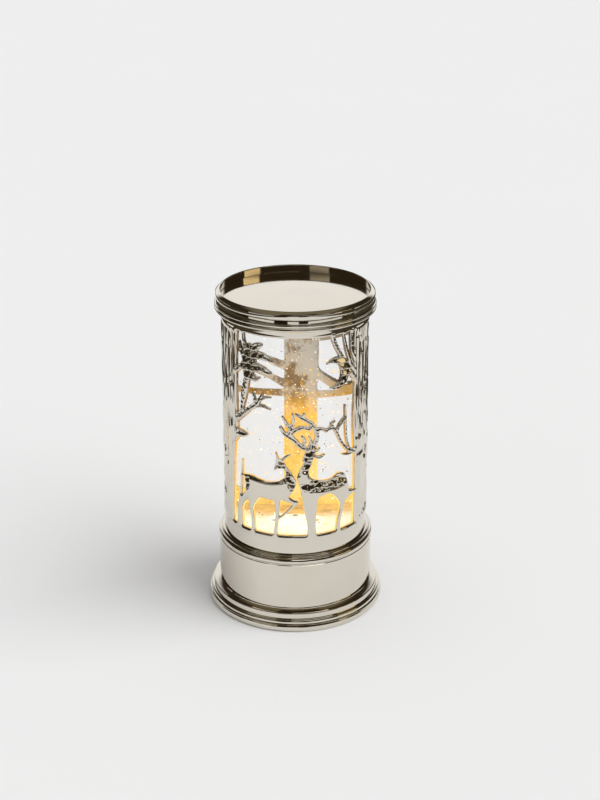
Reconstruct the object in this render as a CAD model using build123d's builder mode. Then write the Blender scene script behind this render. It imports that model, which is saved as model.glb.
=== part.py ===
"""A snow globe lantern: a liquid-filled cylinder in a pierced sleeve, on a round battery base.

Millimetres, +Z up. The origin is the centre of the underside, and the deer scene faces -Y.
"""

from build123d import *
from math import cos, degrees, hypot, pi, radians, sin, tan
import os

os.makedirs("parts", exist_ok=True)

# Fits and clearances
slip_gap = 0.10
loose_gap = 0.30
running_gap = 0.05
thread_gap = 0.02

# Base casing: a drum on a stepped foot, in one shell
rim_lift = 0.6
foot_rim_width = 1.9
middle_step_width = 1.6
upper_step_width = 4.8
foot_rim_height = 4.6
middle_step_height = 3.0
upper_step_height = 3.6
foot_cove = 1.4
foot_rim_bulge = 0.7
middle_step_bulge = 0.5
upper_step_bulge = 1.4
cove_hollow = 0.35
foot_wall = 5.0
foot_bore_height = 4.4
drum_ledge = 4.0
casing_wall = 2.2
drum_top = 46.6
deck_thickness = 2.2
deck_bore_gap = 0.4

# Collar ring round the foot of the sleeve
collar_height = 6.6
collar_overhang = 0.6
collar_root_inset = 0.3
collar_step_inset = 1.3
collar_top_width = 1.2
collar_foot = 0.7
collar_step = 0.3
collar_cap = 1.6
collar_cap_bulge = 0.25

# Clear tank, its floor and its lid
tank_radius = 46.5
tank_wall_thickness = 2.5
tank_wall_length = 164.4
floor_flange = 3.0
floor_plug_length = 8.4
floor_thickness = 3.0
floor_plug_wall = 5.9
floor_boss_radius = 3.0
floor_boss_height = 0.5
lid_flange = 2.5
lid_plug_length = 4.5
lid_air_gap = 0.6
seal_wire_radius = 1.0
seal_squeeze = 0.05
filler_hole_radius = 4.0
filler_offset = 26.0
filler_head_radius = 6.5
filler_head_height = 1.6
filler_length = 3.4

# Pierced sleeve
sleeve_wall = 2.6
relief_height = 0.6
bottom_band = 20.4
top_band = 11.1
window_panels = [-40, 0, 40]
panel_half = 20
panel_overlap = 0.5
cutter_inset = 11.8
cutter_length = 25.0

# Top ring and its plate
ring_height = 13.6
ring_skirt = 5.3
plate_thickness = 3.0
plate_clearance = 0.9
plate_overhang = 0.8
lip_inset = 0.3
lip_width = 4.1
lip_slope = 1.9
ring_band_height = 3.0
ring_reed_depth = 0.9
ring_groove = 0.4
ring_band_bulge = 0.2
lip_edge_bulge = 0.1

# Stirrer in the tank and the magnetic drive under it
pin_radius = 1.5
pin_above_floor = 7.6
pin_in_floor = 2.0
pin_edge = 0.5
stirrer_clearance = 2.0
impeller_radius = 14.0
impeller_disc = 2.2
impeller_hub_radius = 4.0
impeller_hub_height = 6.0
blade_count = 4
blade_turn = 45
blade_inset = 1.0
blade_thickness = 1.6
blade_height = 5.2
magnet_radius = 3.0
magnet_circle = 9.0
magnet_count = 2
drive_magnet_height = 3.0
drive_gap = 1.5
rotor_hub_radius = 4.0
rotor_hub_height = 3.6
rotor_rim = 0.6

# Motor
motor_radius = 12.2
motor_height = 12.4
motor_edge = 1.0
motor_boss_radius = 3.1
motor_boss_height = 1.2
motor_shaft_radius = 1.0
motor_terminal_height = 2.4
motor_screw_offset = 6.5
motor_screw_radius = 1.0
motor_screw_bite = 2.5
small_head_radius = 1.9
small_head_height = 1.2

# Chassis plate
chassis_edge = 2.5
chassis_thickness = 2.0
chassis_screw_inset = 3.0
chassis_screw_radius = 1.25
chassis_screw_bite = 4.6
chassis_head_radius = 2.4
chassis_head_height = 1.8
lamp_post_inset = 5.0
lamp_post_radius = 2.5
lamp_post_height = 3.0
lamp_post_pin = 1.0
lamp_post_count = 3
lamp_post_turn = 30
wire_hole_radius = 3.0
wire_hole_offset = 20.0

# Lamp board, lamps and reflector
board_thickness = 1.6
lamp_board_gap = 2.0
lamp_board_bore = 16.0
lamp_count = 6
lamp_circle = 24.0
lamp_size = 5.0
lamp_base = 1.2
lamp_dome_radius = 2.2
reflector_wall = 0.8
reflector_height = 5.4
reflector_foot = 3.6

# Base plate, its screws and pads
base_plate_thickness = 2.0
base_plate_lift = 1.8
base_screw_inset = 3.6
base_screw_turns = [62, 118, 215, 325]
base_boss_radius = 3.4
base_screw_radius = 1.2
base_screw_bite = 10.0
base_head_radius = 2.6
base_head_height = 1.2
pad_radius = 5.0
pad_inset = 8.2
screw_count = 4

# Battery box
cell_radius = 7.25
cell_length = 50.5
cell_nub_radius = 2.75
cell_nub_length = 1.2
cell_count = 3
cell_spacing = 0.5
cell_lift = 0.5
box_center_y = 9.0
box_wall = 1.4
spring_wire = 0.35
spring_radius = 3.2
spring_turns = 3
spring_length = 4.7
contact_thickness = 0.4
contact_size = 9.0
door_overlap = 3.4
door_thickness = 1.2
door_gap = 0.25
door_screw_inset = 5.6
door_screw_radius = 1.25
door_boss_radius = 2.9
door_boss_height = 5.2
door_ear_radius = 4.2

# Control board
control_length = 30.0
control_width = 20.0
control_x = -12.0
control_y = -30.0
control_post_height = 5.2
control_post_radius = 2.5
control_post_offset = 12.0
chip_length = 6.0
chip_width = 5.0
chip_height = 1.6
chip_edge = 0.25
capacitor_radius = 3.0
capacitor_height = 7.0
capacitor_edge = 0.5

# Switch
switch_x = 19.0
switch_y = -30.0
switch_length = 16.0
switch_width = 7.0
switch_height = 6.0
slider_length = 7.0
slider_width = 4.6
slider_height = 3.0
knob_length = 4.0
knob_width = 2.6
knob_recess = 0.7
switch_travel = 2.5
terminal_pitch = 3.5
terminal_count = 4
terminal_length = 3.4
terminal_width = 1.2

# Lead wires
lead_radius = 0.6
lead_spacing = 3.2
lead_hole_spacing = 1.8
lead_bend_share = 0.45
lamp_lead_place = (-2.5, -27.0)
lamp_lead_rise = 12.0
motor_lead_place = (-9.3, -23.0)
motor_lead_rise = 8.4
motor_lead_drop = 5.0
motor_lead_spacing = 8.0
motor_lead_y = -8.0
battery_lead_x = 16.0
battery_lead_reach = 7.5
battery_lead_drop = 3.2

# Levels and radii worked out from the sizes above
deck_bottom = drum_top - deck_thickness
floor_flange_top = drum_top + floor_flange
floor_top = floor_flange_top + floor_plug_length
floor_underside = floor_top - floor_thickness
tank_top = floor_flange_top + tank_wall_length
lid_underside = tank_top - lid_plug_length
tank_bore = tank_radius - tank_wall_thickness
plug_radius = tank_bore - slip_gap
floor_hollow_radius = plug_radius - floor_plug_wall
water_top = lid_underside - lid_air_gap
sleeve_inner = tank_radius + loose_gap
band_radius = sleeve_inner + sleeve_wall
relief_radius = band_radius + relief_height
sleeve_top = tank_top + lid_flange + filler_head_height + plate_clearance
opening_bottom = drum_top + bottom_band
opening_top = sleeve_top - top_band
ring_bottom = sleeve_top - ring_skirt
ring_top = ring_bottom + ring_height
drum_radius = band_radius + drum_ledge
drum_inner = drum_radius - casing_wall
upper_step_radius = drum_radius + upper_step_width
middle_step_radius = upper_step_radius + middle_step_width
foot_radius = middle_step_radius + foot_rim_width
foot_bore_radius = foot_radius - foot_wall
base_screw_circle = drum_inner - base_screw_inset
pad_circle = foot_bore_radius - pad_inset
chassis_screw_circle = floor_hollow_radius + chassis_screw_inset
base_plate_top = base_plate_lift + base_plate_thickness
chassis_bottom = deck_bottom - chassis_thickness
motor_top = chassis_bottom
motor_bottom = motor_top - motor_height
lamp_board_bottom = deck_bottom + lamp_post_height
lamp_board_top = lamp_board_bottom + board_thickness
impeller_bottom = floor_top + floor_boss_height + loose_gap
rotor_top = floor_underside - drive_gap
rotor_bottom = rotor_top - drive_magnet_height


def save(builder, name):
    builder.part.label = name
    export_step(builder.part, f"parts/{name}.step")


def turned(points, arcs=()):
    """Closes an outline of (radius, height) points and turns it round the Z axis.

    Each entry of arcs is the number of a point and the depth by which the next side bulges outwards.
    """
    bulge = dict(arcs)
    with BuildSketch(Plane.XZ) as half:
        with BuildLine():
            for number, start in enumerate(points):
                end = points[(number + 1) % len(points)]
                if number in bulge:
                    run, rise = end[0] - start[0], end[1] - start[1]
                    length = hypot(run, rise)
                    middle = (
                        (start[0] + end[0]) / 2 + bulge[number] * rise / length,
                        (start[1] + end[1]) / 2 - bulge[number] * run / length,
                    )
                    ThreePointArc(start, middle, end)
                else:
                    Line(start, end)
        make_face()
    revolve(half.sketch, axis=Axis.Z)


def upright(radius, bottom, top, mode=Mode.ADD):
    """A cylinder at the current locations from one height to another."""
    with Locations((0, 0, bottom)):
        Cylinder(radius, top - bottom, align=(Align.CENTER, Align.CENTER, Align.MIN), mode=mode)


def slab(length, width, bottom, top, mode=Mode.ADD):
    """A box at the current locations from one height to another."""
    with Locations((0, 0, bottom)):
        Box(length, width, top - bottom, align=(Align.CENTER, Align.CENTER, Align.MIN), mode=mode)


boss_places = [
    (base_screw_circle * cos(radians(turn)), base_screw_circle * sin(radians(turn)))
    for turn in base_screw_turns
]

# Base casing
middle_step_bottom = rim_lift + foot_rim_height
upper_step_bottom = middle_step_bottom + middle_step_height
upper_step_top = upper_step_bottom + upper_step_height
cove_radius = drum_radius + foot_cove
foot_top = upper_step_top + foot_cove

with BuildPart() as base_casing:
    turned(
        [
            (foot_bore_radius, rim_lift),
            (foot_radius - foot_cove / 2, rim_lift),
            (foot_radius - foot_cove, middle_step_bottom),
            (middle_step_radius, middle_step_bottom),
            (middle_step_radius - foot_cove / 2, upper_step_bottom),
            (upper_step_radius, upper_step_bottom),
            (cove_radius, upper_step_top),
            (drum_radius, foot_top),
            (drum_radius, drum_top),
            (floor_hollow_radius + deck_bore_gap, drum_top),
            (floor_hollow_radius + deck_bore_gap, deck_bottom),
            (drum_inner, deck_bottom),
            (drum_inner, foot_top),
            (foot_bore_radius, rim_lift + foot_bore_height),
        ],
        arcs=[(1, foot_rim_bulge), (3, middle_step_bulge), (5, upper_step_bulge), (6, -cove_hollow)],
    )
    with Locations(boss_places):
        upright(base_boss_radius, base_plate_top, deck_bottom)
        upright(
            base_screw_radius + thread_gap, base_plate_top, base_plate_top + base_screw_bite, Mode.SUBTRACT
        )
    with PolarLocations(chassis_screw_circle, screw_count):
        upright(chassis_screw_radius + slip_gap, deck_bottom, drum_top, Mode.SUBTRACT)
save(base_casing, "base_casing")

# Collar ring
collar_inner = band_radius + slip_gap
collar_root_radius = drum_radius - collar_root_inset
collar_top = drum_top + collar_height
cap_bottom = collar_top - collar_cap

with BuildPart() as collar_ring:
    turned(
        [
            (collar_inner, drum_top),
            (collar_root_radius, drum_top),
            (collar_root_radius, drum_top + collar_foot),
            (collar_root_radius, cap_bottom - collar_step),
            (drum_radius - collar_step_inset, cap_bottom),
            (band_radius + collar_top_width, collar_top),
            (collar_inner, collar_top),
        ],
        arcs=[(2, collar_overhang + collar_root_inset), (4, collar_cap_bulge)],
    )
save(collar_ring, "collar_ring")


# Sleeve scene. Its figures are drawn unrolled: arc along a surface of the drawn radius from the
# middle of the front, positive towards +X, and height between the drawn bottom and top. They
# follow the sleeve when its radius or its opening changes.
drawn_radius = 50.0
drawn_bottom = 67.0
drawn_top = 207.9
drawn_scale = (opening_top - opening_bottom) / (drawn_top - drawn_bottom)


def panel_plane(facing):
    """An upright plane just inside the sleeve that looks out at facing degrees from -Y."""
    turn = radians(facing)
    outward = (sin(turn), -cos(turn), 0)
    start = sleeve_inner - cutter_inset
    origin = (start * outward[0], start * outward[1], 0)
    return Plane(origin=origin, x_dir=(cos(turn), sin(turn), 0), z_dir=outward)


def arc_angle(arc):
    return degrees(arc / drawn_radius)


def on_panel(place, facing):
    """The flat coordinates, on the plane at facing, of a drawn place."""
    across = relief_radius * sin(radians(arc_angle(place[0]) - facing))
    return (across, opening_bottom + (place[1] - drawn_bottom) * drawn_scale)


def limb_face(nodes, facing):
    """A tapering limb along nodes of (arc, height, half width), with round ends."""
    left, right = [], []
    for number, (arc, height, half_width) in enumerate(nodes):
        before = nodes[max(number - 1, 0)]
        after = nodes[min(number + 1, len(nodes) - 1)]
        length = hypot(after[0] - before[0], after[1] - before[1])
        along = ((after[0] - before[0]) / length, (after[1] - before[1]) / length)
        left.append((arc - along[1] * half_width, height + along[0] * half_width))
        right.append((arc + along[1] * half_width, height - along[0] * half_width))
        if number == 0:
            root = (arc - along[0] * half_width, height - along[1] * half_width)
        tip = (arc + along[0] * half_width, height + along[1] * half_width)
    left, right = [on_panel(p, facing) for p in left], [on_panel(p, facing) for p in right]
    with BuildLine() as outline:
        if len(nodes) > 2:
            Spline(*left)
            Spline(*right)
        else:
            Line(*left)
            Line(*right)
        ThreePointArc(left[-1], on_panel(tip, facing), right[-1])
        ThreePointArc(left[0], on_panel(root, facing), right[0])
    make_face(outline.edges())


def smooth_face(places, facing, mode=Mode.ADD):
    """A smooth closed shape through drawn places."""
    with BuildLine() as outline:
        Spline(*[on_panel(place, facing) for place in places], periodic=True)
    make_face(outline.edges(), mode=mode)


def drawn_disc(center, radius):
    turns = [2 * pi * step / disc_points for step in range(disc_points)]
    return [(center[0] + radius * cos(turn), center[1] + radius * sin(turn)) for turn in turns]


# The moon is a disc less a second disc
moon_center = (30.0, 181.2)
moon_radius = 11.2
moon_bite_center = (25.0, 180.3)
moon_bite_radius = 8.6
disc_points = 12

doe_body = [
    (-38.2, 104.4), (-33.6, 107.2), (-26.0, 106.1), (-20.0, 105.4), (-12.5, 106.6), (-8.0, 109.4),
    (-6.5, 113.0), (-8.6, 116.3), (-12.0, 115.6), (-14.9, 114.4), (-14.4, 117.6), (-12.6, 122.0),
    (-9.6, 122.9), (-5.2, 117.0), (-1.2, 111.2), (0.7, 106.6), (-0.6, 101.4), (-4.0, 96.6),
    (-8.5, 93.4), (-14.0, 92.2), (-21.0, 92.6), (-27.0, 92.8), (-33.0, 91.0), (-38.0, 88.4),
    (-39.4, 90.0), (-37.8, 94.5), (-38.0, 99.5),
]
stag_body = [
    (2.6, 104.4), (1.0, 109.4), (2.6, 114.4), (5.0, 119.0), (6.4, 123.0), (10.0, 125.6),
    (12.6, 123.6), (11.0, 118.4), (9.2, 113.2), (11.8, 108.8), (19.0, 106.4), (25.6, 106.6),
    (31.6, 109.2), (37.0, 107.6), (40.2, 101.0), (41.0, 95.4), (46.5, 92.8), (49.0, 90.4),
    (44.0, 89.4), (38.6, 87.0), (34.8, 85.4), (31.0, 90.2), (25.4, 95.6), (18.0, 94.6),
    (12.0, 91.0), (6.0, 93.0),
]
doe_limbs = [
    [(-43.0, 103.2, 0.5), (-38.5, 105.6, 0.8), (-33.5, 105.4, 1.6)],
    [(-36.5, 91.5, 3.0), (-41.0, 86.5, 2.3), (-43.2, 80.0, 1.5), (-42.8, 74.0, 1.4), (-43.4, 63.0, 2.0)],
    [(-29.8, 94.0, 4.2), (-33.0, 84.5, 1.8), (-31.6, 76.0, 1.3), (-31.0, 63.0, 1.7)],
    [(-12.8, 95.0, 2.4), (-12.6, 82.0, 1.4), (-13.6, 72.0, 1.3), (-14.2, 63.0, 1.7)],
    [(-8.5, 96.0, 3.0), (-4.0, 93.4, 1.8), (0.4, 91.4, 1.6)],
    [(0.6, 91.6, 1.4), (-3.6, 86.8, 1.0), (-8.6, 81.6, 0.9), (-11.8, 79.4, 1.0)],
    [(-12.0, 121.5, 1.2), (-13.4, 127.4, 0.5)],
    [(-9.8, 121.4, 1.2), (-6.6, 124.8, 1.0), (-3.8, 126.4, 0.6)],
]
stag_limbs = [
    [(6.2, 122.4, 1.5), (9.0, 126.0, 2.8), (12.2, 129.8, 2.6), (13.0, 133.0, 1.5)],
    [(13.2, 125.0, 1.2), (16.8, 123.6, 1.3), (20.4, 125.0, 0.7)],
    [(13.4, 129.6, 0.9), (15.6, 128.6, 0.9), (17.0, 130.2, 0.6)],
    [(8.8, 98.0, 4.6), (9.6, 84.0, 3.2), (11.0, 74.0, 2.5), (11.4, 63.0, 3.2)],
    [(13.0, 98.0, 3.4), (12.8, 84.0, 2.2), (12.8, 74.0, 1.7), (12.8, 63.0, 2.2)],
    [(36.4, 97.0, 5.0), (35.6, 89.0, 2.6), (35.4, 83.0, 1.7), (32.8, 74.0, 1.4), (31.4, 63.0, 2.0)],
]
antler_limbs = [
    [(12.6, 131.0, 1.85), (8.4, 130.2, 1.55), (3.6, 132.4, 1.55), (0.0, 136.0, 1.55), (-4.0, 139.2, 1.45),
     (-8.0, 142.0, 1.35), (-10.2, 146.0, 0.95)],
    [(12.8, 132.6, 1.75), (14.9, 137.6, 1.55), (14.4, 143.2, 1.55), (11.6, 147.8, 1.45), (7.6, 150.8, 1.35),
     (3.4, 153.2, 1.25), (0.4, 155.6, 0.85)],
    [(0.4, 135.6, 1.45), (-2.6, 140.6, 1.25), (0.4, 144.2, 1.35), (5.0, 145.6, 1.25), (10.4, 144.6, 0.95)],
    [(-5.0, 140.0, 1.45), (-3.2, 144.8, 1.25), (-6.0, 148.2, 1.15), (-8.8, 153.4, 0.75)],
    [(-3.2, 144.8, 1.35), (-1.4, 149.6, 1.15), (-2.0, 155.6, 0.75)],
    [(12.0, 147.4, 1.45), (10.2, 145.2, 1.25), (9.8, 144.6, 1.15)],
    [(4.4, 132.0, 1.35), (6.6, 136.0, 1.25), (4.6, 139.4, 0.85)],
    [(9.0, 130.4, 1.25), (10.8, 135.0, 1.15), (9.6, 139.0, 0.75)],
    [(14.4, 143.0, 1.45), (18.0, 143.8, 1.15), (22.0, 141.8, 1.25)],
    [(5.4, 152.0, 1.25), (6.0, 155.8, 0.75)],
]
left_tree_limbs = [
    [(-50.0, 133.4, 3.6), (-43.0, 135.0, 2.8), (-37.6, 135.6, 1.5)],
    [(-50.0, 143.6, 3.4), (-42.0, 148.6, 2.6), (-34.0, 155.0, 1.9), (-29.5, 158.4, 1.9),
     (-26.0, 162.4, 1.5), (-23.4, 167.4, 0.8)],
    [(-28.4, 159.4, 1.2), (-30.6, 167.0, 0.6)],
    [(-25.0, 163.4, 1.2), (-20.8, 165.6, 0.9), (-17.0, 166.0, 0.5)],
    [(-30.0, 157.6, 1.3), (-23.6, 159.2, 1.1), (-17.6, 157.6, 0.6)],
    [(-41.4, 116.4, 0.4), (-41.8, 104.0, 1.0), (-42.6, 92.0, 1.1), (-44.8, 80.0, 1.5), (-45.2, 63.0, 1.9)],
    [(-50.0, 178.0, 2.6), (-44.0, 181.6, 2.0), (-38.0, 186.4, 2.4), (-33.0, 191.0, 2.6)],
    [(-43.4, 200.4, 0.6), (-41.0, 194.4, 1.3), (-37.0, 188.4, 2.2)],
    [(-39.4, 212.0, 1.2), (-38.8, 203.0, 0.9), (-36.0, 196.0, 1.8)],
]
owl_limbs = [
    [(-34.2, 198.0, 3.2), (-33.6, 191.0, 5.4), (-34.6, 184.0, 4.8), (-36.0, 176.0, 2.6),
     (-38.4, 166.0, 2.8), (-41.2, 152.0, 1.2)],
    [(-33.0, 194.0, 3.0), (-28.6, 199.4, 2.8), (-24.6, 201.6, 1.5)],
    [(-32.0, 191.6, 3.4), (-27.0, 194.0, 2.8), (-21.0, 193.6, 2.2), (-15.4, 191.0, 0.7)],
    [(-32.0, 187.0, 3.0), (-27.0, 185.6, 2.8), (-22.0, 184.4, 2.4), (-17.6, 183.0, 1.4)],
    [(-34.0, 180.0, 2.6), (-29.0, 177.4, 2.0), (-25.6, 178.4, 0.8)],
]
right_tree_limbs = [
    [(24.4, 213.0, 1.7), (27.6, 203.4, 1.6), (31.4, 196.0, 1.6), (36.4, 188.0, 1.8), (42.0, 180.4, 2.2),
     (50.0, 172.0, 3.2)],
    [(34.4, 213.0, 1.2), (36.4, 203.0, 1.0), (39.0, 194.4, 1.4), (43.0, 185.4, 1.7), (50.0, 177.0, 2.4)],
    [(43.2, 213.0, 1.9), (43.4, 203.0, 1.6), (44.4, 193.0, 1.5), (50.0, 183.0, 2.4)],
    [(52.0, 119.0, 2.8), (45.0, 121.8, 1.8), (38.6, 125.4, 1.3), (33.0, 133.0, 1.1), (30.0, 139.4, 1.1),
     (26.6, 143.0, 1.2), (21.0, 141.8, 1.0)],
    [(46.0, 120.8, 1.5), (40.6, 120.6, 1.2), (35.6, 121.8, 0.7)],
    [(43.0, 122.6, 1.3), (39.4, 131.0, 0.9), (38.2, 143.0, 0.8), (37.8, 156.6, 0.5)],
    [(38.0, 148.0, 1.0), (35.0, 145.6, 1.3), (32.6, 143.6, 1.1), (30.4, 139.6, 1.0)],
    [(27.0, 142.6, 1.2), (26.0, 146.0, 1.0), (28.4, 147.4, 0.7)],
]
left_trunk_edge = [
    (-44.6, 213.0), (-46.2, 190.0), (-46.6, 165.0), (-46.0, 150.0), (-45.4, 137.0), (-46.0, 129.4),
    (-49.4, 124.6), (-51.2, 105.0), (-52.4, 62.0),
]
right_trunk_edge = [
    (46.4, 213.0), (46.0, 190.0), (47.4, 170.0), (46.2, 150.0), (46.6, 130.0), (48.6, 108.0), (48.0, 62.0),
]

# Pointed gaps between the trunks of the side groups: nodes of (arc, height, half width)
side_gaps = [
    [(-52.0, 172.0, 0.6), (-51.6, 188.0, 1.7), (-50.4, 204.0, 1.2)],
    [(-58.6, 166.0, 0.6), (-58.4, 184.0, 1.5), (-57.0, 203.0, 1.3)],
    [(-66.0, 170.0, 0.6), (-65.4, 190.0, 1.9), (-65.6, 205.0, 1.0)],
    [(-60.0, 108.0, 0.5), (-60.8, 128.0, 1.3), (-60.0, 150.0, 0.6)],
    [(-72.4, 128.0, 0.6), (-73.0, 156.0, 2.2), (-72.0, 182.0, 0.8)],
    [(-74.0, 72.0, 1.8), (-74.4, 92.0, 2.4), (-73.0, 114.0, 0.6)],
    [(-86.0, 150.0, 0.8), (-86.6, 176.0, 2.6), (-84.0, 204.0, 1.6)],
    [(-88.0, 72.0, 2.6), (-88.6, 96.0, 3.0), (-86.4, 126.0, 0.8)],
    [(52.4, 146.0, 0.6), (52.8, 168.0, 1.5), (54.2, 196.0, 1.5)],
    [(60.0, 158.0, 0.6), (60.6, 180.0, 1.6), (61.6, 204.0, 1.2)],
    [(61.6, 112.0, 0.5), (61.0, 130.0, 1.1), (61.6, 146.0, 0.5)],
    [(68.6, 150.0, 0.8), (69.4, 172.0, 2.2), (68.6, 200.0, 1.2)],
    [(72.0, 72.0, 2.0), (72.6, 96.0, 2.6), (71.0, 124.0, 0.6)],
    [(80.0, 140.0, 0.8), (81.0, 170.0, 2.6), (80.0, 202.0, 1.6)],
    [(88.0, 72.0, 2.6), (88.4, 100.0, 3.0), (87.0, 130.0, 0.8)],
]

# Rear scene, drawn from the middle of the rear, positive towards -X: a trunk between two windows
rear_turn = 180
rear_trunk_edges = (3.8, -7.3)
rear_window_edge = 55.0
rear_boughs = [
    [(60.0, 145.4, 2.2), (40.0, 144.8, 2.0), (20.0, 142.4, 1.9), (0.0, 141.6, 2.6)],
    [(24.0, 176.0, 1.0), (15.0, 170.6, 1.6), (9.0, 166.0, 2.0), (3.0, 160.8, 2.4)],
    [(16.0, 159.6, 1.2), (9.0, 154.2, 1.7), (3.0, 147.4, 2.0)],
    [(32.0, 144.0, 2.0), (30.0, 128.0, 1.5), (33.0, 114.0, 0.8)],
    [(60.0, 92.0, 3.0), (48.0, 98.0, 2.2), (38.0, 98.0, 1.3), (32.0, 92.0, 0.7)],
    [(60.0, 196.0, 3.0), (44.0, 186.0, 2.4), (30.0, 180.0, 1.6), (24.0, 176.0, 0.9)],
]
rear_crown = [
    [(-60.0, 142.0, 2.4), (-40.0, 141.0, 2.2), (-20.0, 140.8, 2.1), (0.0, 140.0, 2.8)],
    [(-5.6, 213.0, 2.6), (-5.4, 150.0, 2.3)],
    [(-5.0, 160.0, 2.2), (-9.0, 153.5, 1.6), (-14.0, 146.0, 1.7), (-20.0, 142.0, 1.8)],
    [(-4.0, 182.0, 3.0), (-12.0, 183.0, 2.6), (-22.0, 188.0, 2.4), (-40.0, 196.0, 2.4), (-60.0, 200.0, 3.0)],
    [(-30.0, 141.0, 2.2), (-27.0, 150.0, 1.6), (-31.0, 160.0, 1.1), (-30.0, 168.0, 0.7)],
    [(-60.0, 104.0, 3.0), (-46.0, 100.0, 2.2), (-34.0, 104.0, 1.2), (-28.0, 110.0, 0.7)],
]


def straight_edge(arc):
    return [(arc, drawn_top), (arc, drawn_bottom)]


def push_out(sketch, facing):
    extrude(sketch, amount=cutter_length, dir=panel_plane(facing).z_dir)


def window(left_edge, right_edge, facing, turn=0):
    """The opening between two edges, both from the top down, as a solid that looks out at facing."""
    with BuildLine() as border:
        Polyline(*[on_panel(place, facing) for place in left_edge + right_edge[::-1]], close=True)
    with BuildSketch(panel_plane(facing + turn)) as opening:
        make_face(border.edges())
        with Locations((0, (opening_bottom + opening_top) / 2)):
            Rectangle(4 * relief_radius, opening_top - opening_bottom, mode=Mode.INTERSECT)
    push_out(opening.sketch, facing + turn)


def front_window(facing):
    """The part of the front opening that one panel faces."""
    reach = radians(panel_half + panel_overlap) * drawn_radius
    middle = radians(facing) * drawn_radius
    left_edge = left_trunk_edge if facing < 0 else straight_edge(middle - reach)
    right_edge = right_trunk_edge if facing > 0 else straight_edge(middle + reach)
    window(left_edge, right_edge, facing)


def rear_window(side):
    """The window on one side of the rear trunk: side is 1 towards -X and -1 towards +X."""
    trunk_edge = rear_trunk_edges[0] if side > 0 else rear_trunk_edges[1]
    left, right = sorted([trunk_edge, side * rear_window_edge])
    window(straight_edge(left), straight_edge(right), arc_angle((left + right) / 2), rear_turn)


def figures(limbs, bodies=(), turn=0):
    """Limbs and smooth bodies as solids that look out at the middle of their group."""
    arcs = [node[0] for shape in list(limbs) + list(bodies) for node in shape]
    facing = arc_angle((min(arcs) + max(arcs)) / 2)
    with BuildSketch(panel_plane(facing + turn)) as outlines:
        for nodes in limbs:
            limb_face(nodes, facing)
        for body in bodies:
            smooth_face(body, facing)
    push_out(outlines.sketch, facing + turn)


def moon():
    facing = arc_angle(moon_center[0])
    with BuildSketch(panel_plane(facing)) as crescent:
        smooth_face(drawn_disc(moon_center, moon_radius), facing)
        smooth_face(drawn_disc(moon_bite_center, moon_bite_radius), facing, Mode.SUBTRACT)
    push_out(crescent.sketch, facing)


with BuildPart() as openings:
    for panel in window_panels:
        front_window(panel)
    rear_window(1)
    rear_window(-1)
    with BuildPart(mode=Mode.SUBTRACT):
        figures(doe_limbs, [doe_body])
        figures(stag_limbs, [stag_body])
        figures(antler_limbs)
        figures(left_tree_limbs)
        figures(owl_limbs)
        figures(right_tree_limbs)
        moon()
        figures(rear_boughs, turn=rear_turn)
        figures(rear_crown, turn=rear_turn)
    for gap in side_gaps:
        figures([gap])

with BuildPart() as scene_sleeve:
    turned(
        [
            (sleeve_inner, drum_top),
            (band_radius, drum_top),
            (band_radius, opening_bottom - relief_height),
            (relief_radius, opening_bottom),
            (relief_radius, opening_top),
            (band_radius, opening_top + relief_height),
            (band_radius, sleeve_top),
            (sleeve_inner, sleeve_top),
        ]
    )
    add(openings.part, mode=Mode.SUBTRACT)
save(scene_sleeve, "scene_sleeve")

# Tank
seal_groove_radius = plug_radius - 2 * seal_wire_radius + slip_gap + seal_squeeze
floor_seal_height = floor_flange_top + floor_plug_length / 2
lid_seal_height = (lid_underside + tank_top) / 2


def seal(height):
    """A sealing ring in its groove, pressed flat where it meets the tank's bore."""
    center = seal_groove_radius + seal_wire_radius
    with BuildSketch(Plane.XZ) as section:
        with Locations((center, height)):
            Circle(seal_wire_radius)
        with Locations((tank_bore, height)):
            Rectangle(
                seal_wire_radius, 3 * seal_wire_radius, align=(Align.MIN, Align.CENTER), mode=Mode.SUBTRACT
            )
    revolve(section.sketch, axis=Axis.Z)


def seal_groove(height):
    """Cuts the groove of a sealing ring into a plug."""
    with BuildSketch(Plane.XZ) as section:
        with Locations((seal_groove_radius, height)):
            Rectangle(
                3 * seal_wire_radius, 2 * (seal_wire_radius + slip_gap), align=(Align.MIN, Align.CENTER)
            )
    revolve(section.sketch, axis=Axis.Z, mode=Mode.SUBTRACT)


with BuildPart() as tank_wall:
    upright(tank_radius, floor_flange_top, tank_top)
    upright(tank_bore, floor_flange_top, tank_top, Mode.SUBTRACT)
save(tank_wall, "tank_wall")

with BuildPart() as tank_floor:
    upright(tank_radius, drum_top, floor_flange_top)
    upright(plug_radius, floor_flange_top, floor_top)
    upright(floor_boss_radius, floor_top, floor_top + floor_boss_height)
    upright(floor_hollow_radius, drum_top, floor_underside, Mode.SUBTRACT)
    upright(pin_radius, floor_top - pin_in_floor, floor_top + floor_boss_height, Mode.SUBTRACT)
    seal_groove(floor_seal_height)
    with PolarLocations(chassis_screw_circle, screw_count):
        upright(
            chassis_screw_radius + thread_gap, drum_top, drum_top + chassis_screw_bite, Mode.SUBTRACT
        )
save(tank_floor, "tank_floor")

with BuildPart() as floor_seal:
    seal(floor_seal_height)
save(floor_seal, "floor_seal")

with BuildPart() as tank_lid:
    upright(tank_radius, tank_top, tank_top + lid_flange)
    upright(plug_radius, lid_underside, tank_top)
    seal_groove(lid_seal_height)
    with Locations((0, filler_offset)):
        upright(filler_hole_radius, lid_underside, tank_top + lid_flange, Mode.SUBTRACT)
save(tank_lid, "tank_lid")

with BuildPart() as lid_seal:
    seal(lid_seal_height)
save(lid_seal, "lid_seal")

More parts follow.
